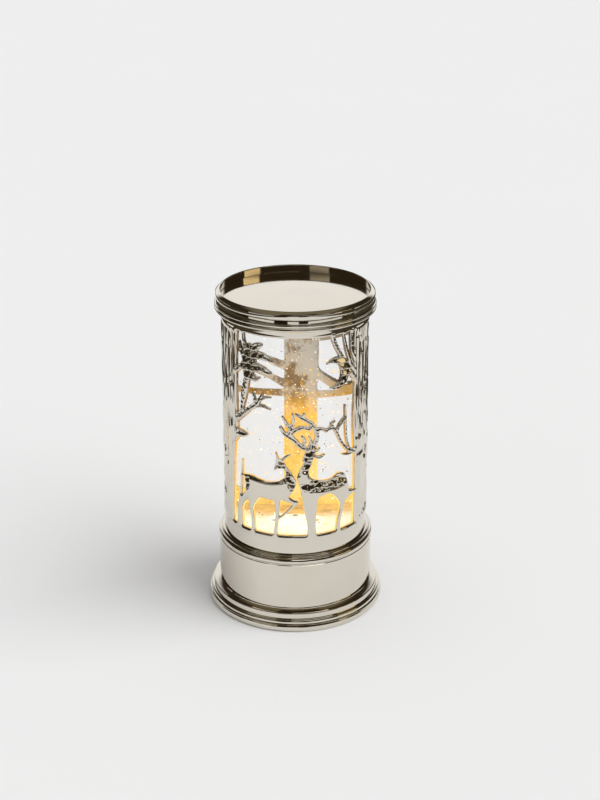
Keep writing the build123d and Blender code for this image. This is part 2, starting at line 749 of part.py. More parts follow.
with BuildPart() as filler_plug:
    with Locations((0, filler_offset)):
        upright(filler_hole_radius, tank_top + lid_flange - filler_length, tank_top + lid_flange)
        upright(
            filler_head_radius, tank_top + lid_flange, tank_top + lid_flange + filler_head_height
        )
save(filler_plug, "filler_plug")

pin_top = floor_top + pin_above_floor

with BuildPart() as water_fill:
    upright(tank_bore, floor_top, water_top)
    upright(impeller_radius + stirrer_clearance, floor_top, pin_top + stirrer_clearance, Mode.SUBTRACT)
save(water_fill, "water_fill")

# Stirrer
with BuildPart() as impeller_pin:
    upright(pin_radius, floor_top - pin_in_floor, pin_top)
    fillet(impeller_pin.edges().sort_by(Axis.Z)[-1], pin_edge)
save(impeller_pin, "impeller_pin")

impeller_disc_top = impeller_bottom + impeller_disc
blade_length = impeller_radius - impeller_hub_radius
blade_center = (impeller_radius + impeller_hub_radius) / 2 - blade_inset

with BuildPart() as impeller:
    upright(impeller_radius, impeller_bottom, impeller_disc_top)
    upright(impeller_hub_radius, impeller_bottom, impeller_bottom + impeller_hub_height)
    with PolarLocations(blade_center, blade_count, start_angle=blade_turn):
        slab(blade_length, blade_thickness, impeller_bottom, impeller_bottom + blade_height)
    upright(pin_radius + running_gap, impeller_bottom, impeller_bottom + impeller_hub_height, Mode.SUBTRACT)
    with PolarLocations(magnet_circle, magnet_count):
        upright(magnet_radius, impeller_bottom, impeller_disc_top, Mode.SUBTRACT)
save(impeller, "impeller")

with BuildPart() as impeller_magnets:
    with PolarLocations(magnet_circle, magnet_count):
        upright(magnet_radius, impeller_bottom, impeller_disc_top)
save(impeller_magnets, "impeller_magnets")

# Magnetic drive
shaft_top = rotor_top - rotor_rim

with BuildPart() as drive_rotor:
    upright(impeller_radius, rotor_bottom, rotor_top)
    upright(rotor_hub_radius, rotor_bottom - rotor_hub_height, rotor_bottom)
    upright(motor_shaft_radius, rotor_bottom - rotor_hub_height, shaft_top, Mode.SUBTRACT)
    with PolarLocations(magnet_circle, magnet_count):
        upright(magnet_radius, rotor_bottom + rotor_rim, rotor_top, Mode.SUBTRACT)
save(drive_rotor, "drive_rotor")

with BuildPart() as drive_magnets:
    with PolarLocations(magnet_circle, magnet_count):
        upright(magnet_radius, rotor_bottom + rotor_rim, rotor_top)
save(drive_magnets, "drive_magnets")

with BuildPart() as motor_shaft:
    upright(motor_shaft_radius, motor_bottom + motor_terminal_height, shaft_top)
save(motor_shaft, "motor_shaft")

with BuildPart() as motor_body:
    upright(motor_radius, motor_bottom, motor_top)
    fillet(motor_body.edges().filter_by(GeomType.CIRCLE), motor_edge)
    upright(motor_boss_radius, motor_top, motor_top + motor_boss_height)
    upright(
        motor_shaft_radius + running_gap,
        motor_bottom + motor_terminal_height - loose_gap,
        motor_top + motor_boss_height,
        Mode.SUBTRACT,
    )
    with Locations((motor_screw_offset, 0), (-motor_screw_offset, 0)):
        upright(motor_screw_radius + thread_gap, motor_top - motor_screw_bite, motor_top, Mode.SUBTRACT)
save(motor_body, "motor_body")

with BuildPart() as motor_screws:
    with Locations((motor_screw_offset, 0), (-motor_screw_offset, 0)):
        upright(motor_screw_radius, motor_top - motor_screw_bite, deck_bottom)
        upright(small_head_radius, deck_bottom, deck_bottom + small_head_height)
save(motor_screws, "motor_screws")

# Chassis
lamp_board_radius = floor_hollow_radius - lamp_board_gap
lamp_post_circle = lamp_board_radius - lamp_post_inset

with BuildPart() as chassis:
    upright(chassis_screw_circle + chassis_edge, chassis_bottom, deck_bottom)
    upright(motor_boss_radius + slip_gap, chassis_bottom, deck_bottom, Mode.SUBTRACT)
    with Locations((motor_screw_offset, 0), (-motor_screw_offset, 0)):
        upright(motor_screw_radius + slip_gap, chassis_bottom, deck_bottom, Mode.SUBTRACT)
    with PolarLocations(chassis_screw_circle, screw_count):
        upright(chassis_screw_radius + slip_gap, chassis_bottom, deck_bottom, Mode.SUBTRACT)
    with Locations((0, -wire_hole_offset)):
        upright(wire_hole_radius, chassis_bottom, deck_bottom, Mode.SUBTRACT)
    with PolarLocations(lamp_post_circle, lamp_post_count, start_angle=lamp_post_turn):
        upright(lamp_post_radius, deck_bottom, lamp_board_bottom)
        upright(lamp_post_pin, lamp_board_bottom, lamp_board_top + lamp_post_pin)
save(chassis, "chassis")

with BuildPart() as chassis_screws:
    with PolarLocations(chassis_screw_circle, screw_count):
        upright(chassis_head_radius, chassis_bottom - chassis_head_height, chassis_bottom)
        upright(chassis_screw_radius, chassis_bottom, drum_top + chassis_screw_bite)
save(chassis_screws, "chassis_screws")

# Lamps
with BuildPart() as lamp_board:
    upright(lamp_board_radius, lamp_board_bottom, lamp_board_top)
    upright(lamp_board_bore, lamp_board_bottom, lamp_board_top, Mode.SUBTRACT)
    with PolarLocations(lamp_post_circle, lamp_post_count, start_angle=lamp_post_turn):
        upright(lamp_post_pin + slip_gap, lamp_board_bottom, lamp_board_top, Mode.SUBTRACT)
save(lamp_board, "lamp_board")

with BuildPart() as lamps:
    with PolarLocations(lamp_circle, lamp_count):
        slab(lamp_size, lamp_size, lamp_board_top, lamp_board_top + lamp_base)
        with Locations((0, 0, lamp_board_top + lamp_base)):
            Sphere(lamp_dome_radius, arc_size1=0)
save(lamps, "lamps")

reflector_outer = floor_hollow_radius - loose_gap

with BuildPart() as reflector:
    turned(
        [
            (reflector_outer - reflector_foot, lamp_board_top),
            (reflector_outer, lamp_board_top),
            (reflector_outer, lamp_board_top + reflector_height),
            (reflector_outer - reflector_wall, lamp_board_top + reflector_height),
            (reflector_outer - reflector_foot, lamp_board_top + reflector_wall),
        ],
        arcs=[(3, -reflector_wall)],
    )
save(reflector, "reflector")

# Base plate with the battery box
cell_pitch = 2 * cell_radius + cell_spacing
box_inner_width = cell_count * cell_pitch + 2 * loose_gap
box_inner_length = cell_length + spring_length + 2 * contact_thickness
cell_center_height = base_plate_top + cell_lift + cell_radius
box_roof = cell_center_height + cell_radius + cell_lift
box_top = box_roof + box_wall
box_front = box_center_y - box_inner_width / 2 - box_wall
door_length = box_inner_length + 2 * door_overlap
door_width = box_inner_width + 2 * door_overlap
door_top = base_plate_lift + door_thickness
door_screw_offset = box_inner_length / 2 + door_screw_inset
door_screw_places = [(door_screw_offset, box_center_y), (-door_screw_offset, box_center_y)]
control_post_places = [
    (control_x + control_post_offset, control_y),
    (control_x - control_post_offset, control_y),
]
control_bottom = base_plate_top + control_post_height
control_top = control_bottom + board_thickness


def door_outline(extra, bottom, top, mode=Mode.ADD):
    """The battery door's outline, with an ear round each screw, grown by extra all round."""
    with Locations((0, box_center_y)):
        slab(door_length + 2 * extra, door_width + 2 * extra, bottom, top, mode)
    with Locations(door_screw_places):
        upright(door_ear_radius + extra, bottom, top, mode)


with BuildPart() as base_plate:
    upright(foot_bore_radius - loose_gap, base_plate_lift, base_plate_top)
    with Locations(control_post_places):
        upright(control_post_radius, base_plate_top, control_bottom)
        upright(motor_screw_radius + thread_gap, base_plate_top, control_bottom, Mode.SUBTRACT)
    with Locations(door_screw_places):
        upright(door_boss_radius, base_plate_top, base_plate_top + door_boss_height)
    with Locations((0, box_center_y)):
        slab(box_inner_length, box_inner_width, base_plate_lift, base_plate_top, Mode.SUBTRACT)
    door_outline(door_gap, base_plate_lift, door_top, Mode.SUBTRACT)
    with Locations(door_screw_places):
        upright(
            door_screw_radius + running_gap, door_top, base_plate_top + door_boss_height, Mode.SUBTRACT
        )
    with Locations(boss_places):
        upright(base_screw_radius + slip_gap, base_plate_lift, base_plate_top, Mode.SUBTRACT)
        upright(base_head_radius + slip_gap, base_plate_lift, base_plate_lift + base_head_height,
                Mode.SUBTRACT)
    with Locations((switch_x, switch_y)):
        slab(knob_length + 2 * (switch_travel + loose_gap), knob_width + 2 * loose_gap, base_plate_lift,
             base_plate_top, Mode.SUBTRACT)
save(base_plate, "base_plate")

with BuildPart() as base_screws:
    with Locations(boss_places):
        upright(base_head_radius, base_plate_lift, base_plate_lift + base_head_height)
        upright(base_screw_radius, base_plate_lift + base_head_height, base_plate_top + base_screw_bite)
save(base_screws, "base_screws")

with BuildPart() as foot_pads:
    with PolarLocations(pad_circle, screw_count):
        upright(pad_radius, 0, base_plate_lift)
    fillet(foot_pads.edges().group_by(Axis.Z)[0], loose_gap)
save(foot_pads, "foot_pads")

with BuildPart() as battery_box:
    with Locations((0, box_center_y)):
        slab(box_inner_length + 2 * box_wall, box_inner_width + 2 * box_wall, base_plate_top, box_top)
        slab(box_inner_length, box_inner_width, base_plate_top, box_roof, Mode.SUBTRACT)
save(battery_box, "battery_box")

with BuildPart() as battery_door:
    door_outline(0, base_plate_lift, door_top)
    with Locations(door_screw_places):
        upright(door_screw_radius + slip_gap, base_plate_lift, door_top, Mode.SUBTRACT)
save(battery_door, "battery_door")

with BuildPart() as door_screws:
    with Locations(door_screw_places):
        upright(base_head_radius, base_plate_lift - small_head_height, base_plate_lift)
        upright(door_screw_radius, base_plate_lift, base_plate_top + door_boss_height - loose_gap)
save(door_screws, "door_screws")

# Cells, contacts and springs. The cells lie along X, and every second one is turned about.
contact_inner = box_inner_length / 2 - contact_thickness
cell_rows = [
    (box_center_y + (number - (cell_count - 1) / 2) * cell_pitch, 1 if number % 2 == 0 else -1)
    for number in range(cell_count)
]


def row_plane(distance, row, direction):
    """An upright plane facing along X, centred on the axis of a cell's row."""
    return Plane(origin=(distance, row, cell_center_height), x_dir=(0, 1, 0), z_dir=(direction, 0, 0))


with BuildPart() as batteries:
    for row, direction in cell_rows:
        with BuildSketch(row_plane(-direction * (contact_inner - spring_length), row, direction)):
            Circle(cell_radius)
        extrude(amount=cell_length - cell_nub_length)
        with BuildSketch(row_plane(direction * contact_inner, row, -direction)):
            Circle(cell_nub_radius)
        extrude(amount=cell_nub_length)
save(batteries, "batteries")

with BuildPart() as battery_contacts:
    for row, direction in cell_rows:
        for side in (1, -1):
            with BuildSketch(row_plane(side * contact_inner, row, side)):
                Rectangle(contact_size, contact_size)
            extrude(amount=contact_thickness)
save(battery_contacts, "battery_contacts")

spring_pitch = (spring_length - 2 * spring_wire) / spring_turns

with BuildPart() as battery_springs:
    for row, direction in cell_rows:
        start = (-direction * (contact_inner - spring_wire), row, cell_center_height)
        with BuildLine() as coil:
            Helix(
                pitch=spring_pitch,
                height=spring_pitch * spring_turns,
                radius=spring_radius,
                center=start,
                direction=(direction, 0, 0),
            )
        with BuildSketch(Plane(origin=coil.line @ 0, z_dir=coil.line % 0)) as wire:
            Circle(spring_wire)
        sweep(wire.sketch, path=coil.line)
save(battery_springs, "battery_springs")

# Control board
with BuildPart() as control_board:
    with Locations((control_x, control_y)):
        slab(control_length, control_width, control_bottom, control_top)
    with Locations(control_post_places):
        upright(motor_screw_radius + slip_gap, control_bottom, control_top, Mode.SUBTRACT)
save(control_board, "control_board")

with BuildPart() as control_screws:
    with Locations(control_post_places):
        upright(motor_screw_radius, base_plate_top + loose_gap, control_top)
        upright(small_head_radius, control_top, control_top + small_head_height)
save(control_screws, "control_screws")

with BuildPart() as control_chip:
    with Locations((control_x, control_y)):
        slab(chip_length, chip_width, control_top, control_top + chip_height)
    chamfer(control_chip.edges().group_by(Axis.Z)[-1], chip_edge)
save(control_chip, "control_chip")

with BuildPart() as capacitor:
    with Locations((control_x - control_post_offset / 2, control_y - control_width / 4)):
        upright(capacitor_radius, control_top, control_top + capacitor_height)
    fillet(capacitor.edges().group_by(Axis.Z)[-1], capacitor_edge)
save(capacitor, "capacitor")

# Slide switch: off in the middle, steady at one end and timed at the other
housing_top = base_plate_top + switch_height
slider_top = base_plate_top + loose_gap + slider_height

with BuildPart() as switch_housing:
    with Locations((switch_x, switch_y)):
        slab(switch_length, switch_width, base_plate_top, housing_top)
        slab(
            slider_length + 2 * (switch_travel + loose_gap),
            slider_width + 2 * running_gap,
            base_plate_top,
            slider_top + running_gap,
            Mode.SUBTRACT,
        )
save(switch_housing, "switch_housing")

with BuildPart() as switch_slider:
    with Locations((switch_x, switch_y)):
        slab(slider_length, slider_width, base_plate_top + running_gap, slider_top)
        slab(knob_length, knob_width, base_plate_lift - knob_recess, base_plate_top + running_gap)
save(switch_slider, "switch_slider")

first_terminal = switch_x - (terminal_count - 1) / 2 * terminal_pitch

with BuildPart() as switch_terminals:
    for number in range(terminal_count):
        with Locations((first_terminal + number * terminal_pitch, switch_y)):
            slab(contact_thickness, terminal_width, housing_top, housing_top + terminal_length)
save(switch_terminals, "switch_terminals")

# Top ring, pushed on the sleeve's upper band, and the plate that lies in it
lip_bottom = ring_top - lip_slope
band_bottom = lip_bottom - ring_band_height
reed_space = (band_bottom - ring_bottom - 3 * ring_groove) / 3
upper_reed_top = band_bottom - ring_groove
middle_reed_top = upper_reed_top - reed_space - ring_groove
lower_reed_top = middle_reed_top - reed_space - ring_groove
ring_groove_radius = band_radius + lip_width
plate_radius = band_radius + plate_overhang
seat_radius = plate_radius + 2 * slip_gap

with BuildPart() as top_ring:
    turned(
        [
            (band_radius + slip_gap, ring_bottom),
            (ring_groove_radius, ring_bottom),
            (ring_groove_radius, lower_reed_top),
            (ring_groove_radius, lower_reed_top + ring_groove),
            (ring_groove_radius, middle_reed_top),
            (ring_groove_radius, middle_reed_top + ring_groove),
            (ring_groove_radius - ring_groove, upper_reed_top),
            (ring_groove_radius - ring_groove, band_bottom),
            (ring_groove_radius, band_bottom),
            (ring_groove_radius, lip_bottom),
            (plate_radius + lip_inset + ring_groove, ring_top),
            (seat_radius, ring_top - ring_groove),
            (seat_radius, sleeve_top),
            (band_radius + slip_gap, sleeve_top),
        ],
        arcs=[(1, ring_reed_depth), (3, ring_reed_depth), (5, ring_reed_depth), (8, ring_band_bulge),
              (10, lip_edge_bulge)],
    )
save(top_ring, "top_ring")

with BuildPart() as top_plate:
    upright(plate_radius, sleeve_top, sleeve_top + plate_thickness)
save(top_plate, "top_plate")

# Lead wires, each written as the places its run turns at
battery_lead_level = box_top - battery_lead_drop
battery_lead_y = box_front - battery_lead_reach


def lamp_route(side):
    x, y = lamp_lead_place
    x += side * lead_spacing / 2
    hole_x = side * lead_hole_spacing / 2
    return [
        (x, y, control_top),
        (x, y, control_top + lamp_lead_rise),
        (hole_x, -wire_hole_offset, lamp_board_bottom - lamp_lead_rise),
        (hole_x, -wire_hole_offset, lamp_board_bottom),
    ]


def motor_route(side):
    x, y = motor_lead_place
    x += side * lead_spacing / 2
    motor_x = side * motor_lead_spacing / 2
    return [
        (motor_x, motor_lead_y, motor_bottom),
        (motor_x, motor_lead_y, motor_bottom - motor_lead_drop),
        (x, y, control_top + motor_lead_rise),
        (x, y, control_top),
    ]


lead_routes = {
    "lamp_leads": [lamp_route(-1), lamp_route(1)],
    "motor_leads": [motor_route(-1), motor_route(1)],
    "battery_leads": [
        [
            (-battery_lead_x, box_front, battery_lead_level),
            (-battery_lead_x, battery_lead_y, battery_lead_level),
            (-battery_lead_x, battery_lead_y, control_top),
        ],
        [
            (battery_lead_x, box_front, battery_lead_level),
            (battery_lead_x, battery_lead_y, battery_lead_level),
            (first_terminal, switch_y, battery_lead_level),
            (first_terminal, switch_y, housing_top + terminal_length),
        ],
    ],
}


def turn_radii(route):
    """The largest arc that each corner of a route leaves room for."""
    radii = []
    for before, corner, after in zip(route, route[1:], route[2:]):
        inward, outward = Vector(corner) - Vector(before), Vector(after) - Vector(corner)
        half_turn = radians(inward.get_angle(outward)) / 2
        radii.append(lead_bend_share * min(inward.length, outward.length) / tan(half_turn))
    return radii


for name, routes in lead_routes.items():
    with BuildPart() as leads:
        for route in routes:
            with BuildLine() as path:
                FilletPolyline(*route, radius=turn_radii(route))
            with BuildSketch(Plane(origin=path.line @ 0, z_dir=path.line % 0)) as wire:
                Circle(lead_radius)
            sweep(wire.sketch, path=path.line)
    save(leads, name)
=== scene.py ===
# %% [markdown]
# # A snow globe lantern
# The lantern is a round base with a clear, water-filled cylinder on it. A pierced metal sleeve with
# trees and two deer stands round the cylinder, and a moulded ring with a mirror plate closes the top.
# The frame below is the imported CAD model. Every piece that is made here stands where that frame says.

# %% The frame and the tools
import math

import bmesh
import bpy
import numpy as np
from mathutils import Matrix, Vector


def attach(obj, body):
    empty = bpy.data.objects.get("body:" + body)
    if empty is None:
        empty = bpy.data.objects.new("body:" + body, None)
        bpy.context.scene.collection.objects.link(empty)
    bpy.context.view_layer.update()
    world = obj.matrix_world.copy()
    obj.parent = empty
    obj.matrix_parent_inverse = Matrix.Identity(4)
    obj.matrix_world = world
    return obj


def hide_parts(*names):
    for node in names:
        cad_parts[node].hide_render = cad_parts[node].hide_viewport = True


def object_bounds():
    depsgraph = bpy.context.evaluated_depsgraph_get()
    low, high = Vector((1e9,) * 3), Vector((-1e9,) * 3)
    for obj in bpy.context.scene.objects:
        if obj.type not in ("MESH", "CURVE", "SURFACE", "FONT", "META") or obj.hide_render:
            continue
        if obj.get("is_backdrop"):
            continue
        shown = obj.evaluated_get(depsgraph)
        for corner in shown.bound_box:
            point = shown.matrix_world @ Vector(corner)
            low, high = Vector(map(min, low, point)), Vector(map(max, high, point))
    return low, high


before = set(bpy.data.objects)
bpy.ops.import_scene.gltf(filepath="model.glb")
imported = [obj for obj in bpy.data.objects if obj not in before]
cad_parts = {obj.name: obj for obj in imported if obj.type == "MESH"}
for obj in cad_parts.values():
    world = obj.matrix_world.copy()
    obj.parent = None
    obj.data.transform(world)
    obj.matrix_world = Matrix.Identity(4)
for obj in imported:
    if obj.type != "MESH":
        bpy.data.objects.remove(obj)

cad_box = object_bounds()
mm = 0.001
scene = bpy.context.scene
print("CAD nodes:", len(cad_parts))

# %% [markdown]
# ## Camera, floor and light
# The photograph looks down on the lantern at about twenty degrees with a fairly long lens. The floor
# and the backdrop are one pale sweep, a large soft lamp stands to the right, and the room behind the
# camera is dark. Polished metal shows that room, so the world has a pale side, a dark side and a few
# bright panels, and only reflections see the dark side.

# %% Camera
camera_place = (0.0, -0.93106, 0.53151)
camera_pitch = math.radians(19.77)
camera_data = bpy.data.cameras.new("camera")
camera_data.sensor_width = 36.0
camera_data.lens = 66.03
camera_data.shift_x = 0.0059
camera_data.shift_y = -0.0878
camera = bpy.data.objects.new("camera", camera_data)
camera.location = camera_place
camera.rotation_euler = (math.pi / 2 - camera_pitch, 0.0, 0.0)
scene.collection.objects.link(camera)
scene.camera = camera
scene.view_settings.view_transform = "Standard"
print("camera at", camera_place)


# %% Small helpers for node trees
def solid(color):
    """Adds full opacity to a (red, green, blue) colour."""
    return (*color, 1.0)


def add_node(tree, kind, **settings):
    """Adds a node and fills in its settings and, by name or number, its inputs."""
    made = tree.nodes.new(kind)
    for key, value in settings.items():
        if key == "inputs":
            for name, entry in value.items():
                if hasattr(entry, "node"):
                    tree.links.new(entry, made.inputs[name])
                else:
                    made.inputs[name].default_value = entry
        else:
            setattr(made, key, value)
    return made


def arithmetic(tree, operation, first, second=0.0, third=0.0, clamp=False):
    inputs = {0: first, 1: second, 2: third}
    return add_node(tree, "ShaderNodeMath", operation=operation, use_clamp=clamp, inputs=inputs).outputs[0]


def multiply(tree, first, second):
    return arithmetic(tree, "MULTIPLY", first, second)


def larger(tree, first, second):
    return arithmetic(tree, "MAXIMUM", first, second)


def rise(tree, value, low, high):
    """From 0 at low to 1 at high, with soft ends; low may be the larger."""
    return add_node(
        tree, "ShaderNodeMapRange", interpolation_type="SMOOTHSTEP",
        inputs={"Value": value, "From Min": low, "From Max": high},
    ).outputs["Result"]


def between(tree, value, low, high, soft):
    """A mask that is 1 where value lies between low and high, with soft edges."""
    up = rise(tree, value, low - soft, low + soft)
    down = rise(tree, value, high - soft, high + soft)
    return arithmetic(tree, "SUBTRACT", up, down, clamp=True)


def straight(tree, value, low, high, bottom=0.0, top=1.0):
    """A straight slope from bottom at low to top at high."""
    return add_node(
        tree, "ShaderNodeMapRange",
        inputs={"Value": value, "From Min": low, "From Max": high, "To Min": bottom, "To Max": top},
    ).outputs["Result"]


def blend_colors(tree, share, first, second):
    """A mix of two colours, each an output of a node or a (red, green, blue) colour."""
    made = add_node(tree, "ShaderNodeMix", data_type="RGBA", inputs={0: share})
    for socket, entry in zip((made.inputs[6], made.inputs[7]), (first, second)):
        if hasattr(entry, "node"):
            tree.links.new(entry, socket)
        else:
            socket.default_value = solid(entry)
    return made.outputs[2]


def object_place(tree):
    """A point's place in the lantern's own frame, in metres."""
    return add_node(tree, "ShaderNodeTexCoord").outputs["Object"]


def split_axes(tree, vector):
    return add_node(tree, "ShaderNodeSeparateXYZ", inputs={0: vector}).outputs


def noise(tree, place, scale, detail, roughness=0.5):
    inputs = {"Vector": place, "Scale": scale, "Detail": detail, "Roughness": roughness}
    return add_node(tree, "ShaderNodeTexNoise", inputs=inputs).outputs[0]


# %% World: what the polished metal reflects
ambient_level = 0.54
backdrop_color = (1.0, 1.0, 1.0)
paper_color = (0.82, 0.80, 0.77)
room_color = (0.034, 0.024, 0.013)
ceiling_color = (0.185, 0.160, 0.105)
flag_color = (0.012, 0.009, 0.005)
paper_top = (0.06, 0.09)
ceiling_start = (0.80, 1.05)
backdrop_start = (0.72, 0.86)
# Patches are (low azimuth, high azimuth, low elevation, high elevation, softness), in radians
sharp_patch, soft_patch = 0.012, 0.04
dark_ceiling = (-0.60, 0.96, 0.20, 1.22, soft_patch)
flags = [
    (-1.80, -1.18, -0.10, 0.12, sharp_patch),
    (-0.51, -0.18, -0.10, 0.12, sharp_patch),
    (0.08, 0.31, -0.10, 0.12, sharp_patch),
    (1.18, 1.57, -0.10, 0.12, sharp_patch),
]
panels = {
    (1.01, 1.53, 0.22, 0.41, sharp_patch): (1.15, 0.92, 0.52),
    (-0.96, -0.40, 0.22, 0.41, sharp_patch): (0.42, 0.38, 0.30),
    (-0.10, 1.05, 0.75, 0.85, sharp_patch): (1.90, 1.87, 1.80),
    (-1.40, -0.55, 0.76, 0.84, sharp_patch): (0.90, 0.88, 0.85),
}

world = bpy.data.worlds.new("studio")
scene.world = world
world.use_nodes = True
tree = world.node_tree
tree.nodes.clear()
direction = add_node(tree, "ShaderNodeTexCoord").outputs["Generated"]
across, ahead, height = split_axes(tree, direction)
azimuth = arithmetic(tree, "ARCTAN2", across, multiply(tree, ahead, -1.0))
elevation = arithmetic(tree, "ARCSINE", height)


def world_patch(low_azimuth, high_azimuth, low, high, soft):
    """A mask over part of the world. Azimuth 0 is behind the camera, and it is positive to the right."""
    wide = between(tree, azimuth, low_azimuth, high_azimuth, soft)
    tall = between(tree, elevation, low, high, soft)
    return multiply(tree, wide, tall)


room = blend_colors(tree, rise(tree, elevation, *paper_top), paper_color, room_color)
room = blend_colors(tree, rise(tree, elevation, *ceiling_start), room, ceiling_color)
room = blend_colors(tree, world_patch(*dark_ceiling), room, room_color)
for flag in flags:
    room = blend_colors(tree, world_patch(*flag), room, flag_color)
for panel, panel_color in panels.items():
    room = blend_colors(tree, world_patch(*panel), room, panel_color)
room = blend_colors(tree, rise(tree, ahead, *backdrop_start), room, backdrop_color)
print("world panels:", len(panels), "and flags:", len(flags))


# %% World: what lights the lantern and what the camera sees
def background(tree, color, strength):
    return add_node(tree, "ShaderNodeBackground", inputs={"Color": color, "Strength": strength}).outputs[0]


def mix_shaders(tree, share, first, second):
    return add_node(tree, "ShaderNodeMixShader", inputs={0: share, 1: first, 2: second}).outputs[0]


rays = add_node(tree, "ShaderNodeLightPath").outputs
ambient = background(tree, solid(backdrop_color), ambient_level)
lit_room = mix_shaders(tree, rays["Is Glossy Ray"], ambient, background(tree, room, 1.0))
sees_through = larger(tree, rays["Is Camera Ray"], rays["Is Transmission Ray"])
all_rays = mix_shaders(tree, sees_through, lit_room, background(tree, solid(backdrop_color), 1.0))
add_node(tree, "ShaderNodeOutputWorld", inputs={0: all_rays})
print("ambient light:", ambient_level)

# %% Key lamp
key_data = bpy.data.lights.new("key_lamp", "SUN")
key_data.energy = 2.20
key_data.angle = math.radians(60)
key_data.color = (1.0, 1.0, 1.0)
key_lamp = bpy.data.objects.new("key_lamp", key_data)
key_lamp.rotation_euler = (math.radians(14), math.radians(47), 0.0)
key_lamp.visible_glossy = False
scene.collection.objects.link(key_lamp)
print("key lamp:", key_data.energy)


# %% [markdown]
# ## Materials
# Most of the lantern has one finish, a warm nickel plating. It is a metal with almost no roughness of
# its own, so what gives it life is small: faint smudges, a little dust, and a slight change of tone.
# One node group makes those, and each metal and moulding takes its own amounts.

# %% The wear group
smudge_scale = 38.0
smudge_start = (0.45, 0.75)
grain_share = 0.02


def make_wear_group():
    group = bpy.data.node_groups.new("handling_wear", "ShaderNodeTree")
    for name, default in (("Polish", 0.05), ("Smudge", 0.05), ("Grain size", 900.0)):
        socket = group.interface.new_socket(name, in_out="INPUT", socket_type="NodeSocketFloat")
        socket.default_value = default
    for name in ("Roughness", "Tone", "Height"):
        group.interface.new_socket(name, in_out="OUTPUT", socket_type="NodeSocketFloat")
    given = add_node(group, "NodeGroupInput").outputs
    place = object_place(group)
    smudge = rise(group, noise(group, place, smudge_scale, 3.0, 0.6), *smudge_start)
    grain = noise(group, place, given["Grain size"], 2.0)
    rough = arithmetic(group, "ADD", given["Polish"], multiply(group, smudge, given["Smudge"]))
    rough = arithmetic(group, "MULTIPLY_ADD", grain, grain_share, rough)
    add_node(group, "NodeGroupOutput", inputs={"Roughness": rough, "Tone": smudge, "Height": grain})
    return group


wear_group = make_wear_group()
print("wear group:", len(wear_group.nodes), "nodes")


# %% Finishes of the metals and mouldings
grain_depth = 0.2 * mm


def new_material(name):
    made = bpy.data.materials.new(name)
    made.use_nodes = True
    tree = made.node_tree
    tree.nodes.clear()
    shader = add_node(tree, "ShaderNodeBsdfPrincipled")
    add_node(tree, "ShaderNodeOutputMaterial", inputs={0: shader.outputs[0]})
    return made, tree, shader


def add_wear(tree, polish, smudge, grain_size=900.0):
    inputs = {"Polish": polish, "Smudge": smudge, "Grain size": grain_size}
    return add_node(tree, "ShaderNodeGroup", node_tree=wear_group, inputs=inputs).outputs


def feed(tree, shader, **sources):
    """Links outputs of nodes to a shader's inputs, which are named with low lines for spaces."""
    for name, source in sources.items():
        tree.links.new(source, shader.inputs[name.replace("_", " ")])


def make_moulding(name, color, dull, polish, smudge, grain_size=1500.0, bump=0.15, metallic=0.0):
    """A finish with wear: dull is the colour of the smudges, and bump the strength of the grain."""
    made, tree, shader = new_material(name)
    shader.inputs["Metallic"].default_value = metallic
    wear = add_wear(tree, polish, smudge, grain_size)
    feed(tree, shader, Roughness=wear["Roughness"], Base_Color=blend_colors(tree, wear["Tone"], color, dull))
    if bump:
        inputs = {"Strength": bump, "Distance": grain_depth, "Height": wear["Height"]}
        feed(tree, shader, Normal=add_node(tree, "ShaderNodeBump", inputs=inputs).outputs[0])
    return made


def make_metal(name, color, dull, polish, smudge, grain_size=900.0, bump=0.0):
    return make_moulding(name, color, dull, polish, smudge, grain_size, bump, metallic=1.0)


nickel_color = (0.735, 0.690, 0.605)
nickel_dull = (0.710, 0.665, 0.580)
polished_nickel = make_metal("polished_nickel", nickel_color, nickel_dull, 0.035, 0.05)
plate_nickel = make_metal("plate_nickel", (0.735, 0.675, 0.585), nickel_dull, 0.05, 0.06)
black_moulding = make_moulding("black_moulding", (0.022, 0.022, 0.023), (0.035, 0.034, 0.033), 0.42, 0.15)
black_rubber = make_moulding(
    "black_rubber", (0.018, 0.018, 0.018), (0.04, 0.04, 0.038), 0.6, 0.2, 700.0, 0.4
)
white_moulding = make_moulding("white_moulding", (0.86, 0.84, 0.79), (0.80, 0.77, 0.71), 0.35, 0.15)
green_board = make_moulding("green_board", (0.02, 0.13, 0.055), (0.03, 0.16, 0.07), 0.25, 0.1)
chip_epoxy = make_moulding("chip_epoxy", (0.02, 0.02, 0.02), (0.04, 0.04, 0.04), 0.45, 0.1)
can_sleeve = make_moulding("can_sleeve", (0.03, 0.04, 0.13), (0.05, 0.06, 0.16), 0.3, 0.1)
cell_wrap = make_moulding("cell_wrap", (0.05, 0.05, 0.055), (0.09, 0.09, 0.09), 0.25, 0.1)
lead_skin = make_moulding("lead_skin", (0.40, 0.03, 0.02), (0.48, 0.06, 0.04), 0.35, 0.1)
zinc_steel = make_metal("zinc_steel", (0.60, 0.60, 0.61), (0.48, 0.48, 0.50), 0.22, 0.15, 1800.0, 0.3)
magnet_plate = make_metal("magnet_plate", (0.62, 0.61, 0.59), (0.5, 0.5, 0.48), 0.12, 0.1)
motor_can = make_metal("motor_can", (0.66, 0.66, 0.66), (0.55, 0.55, 0.55), 0.3, 0.1, 1400.0, 0.2)
contact_brass = make_metal("contact_brass", (0.78, 0.60, 0.30), (0.6, 0.45, 0.22), 0.2, 0.15)
print("plain finishes:", len(bpy.data.materials))
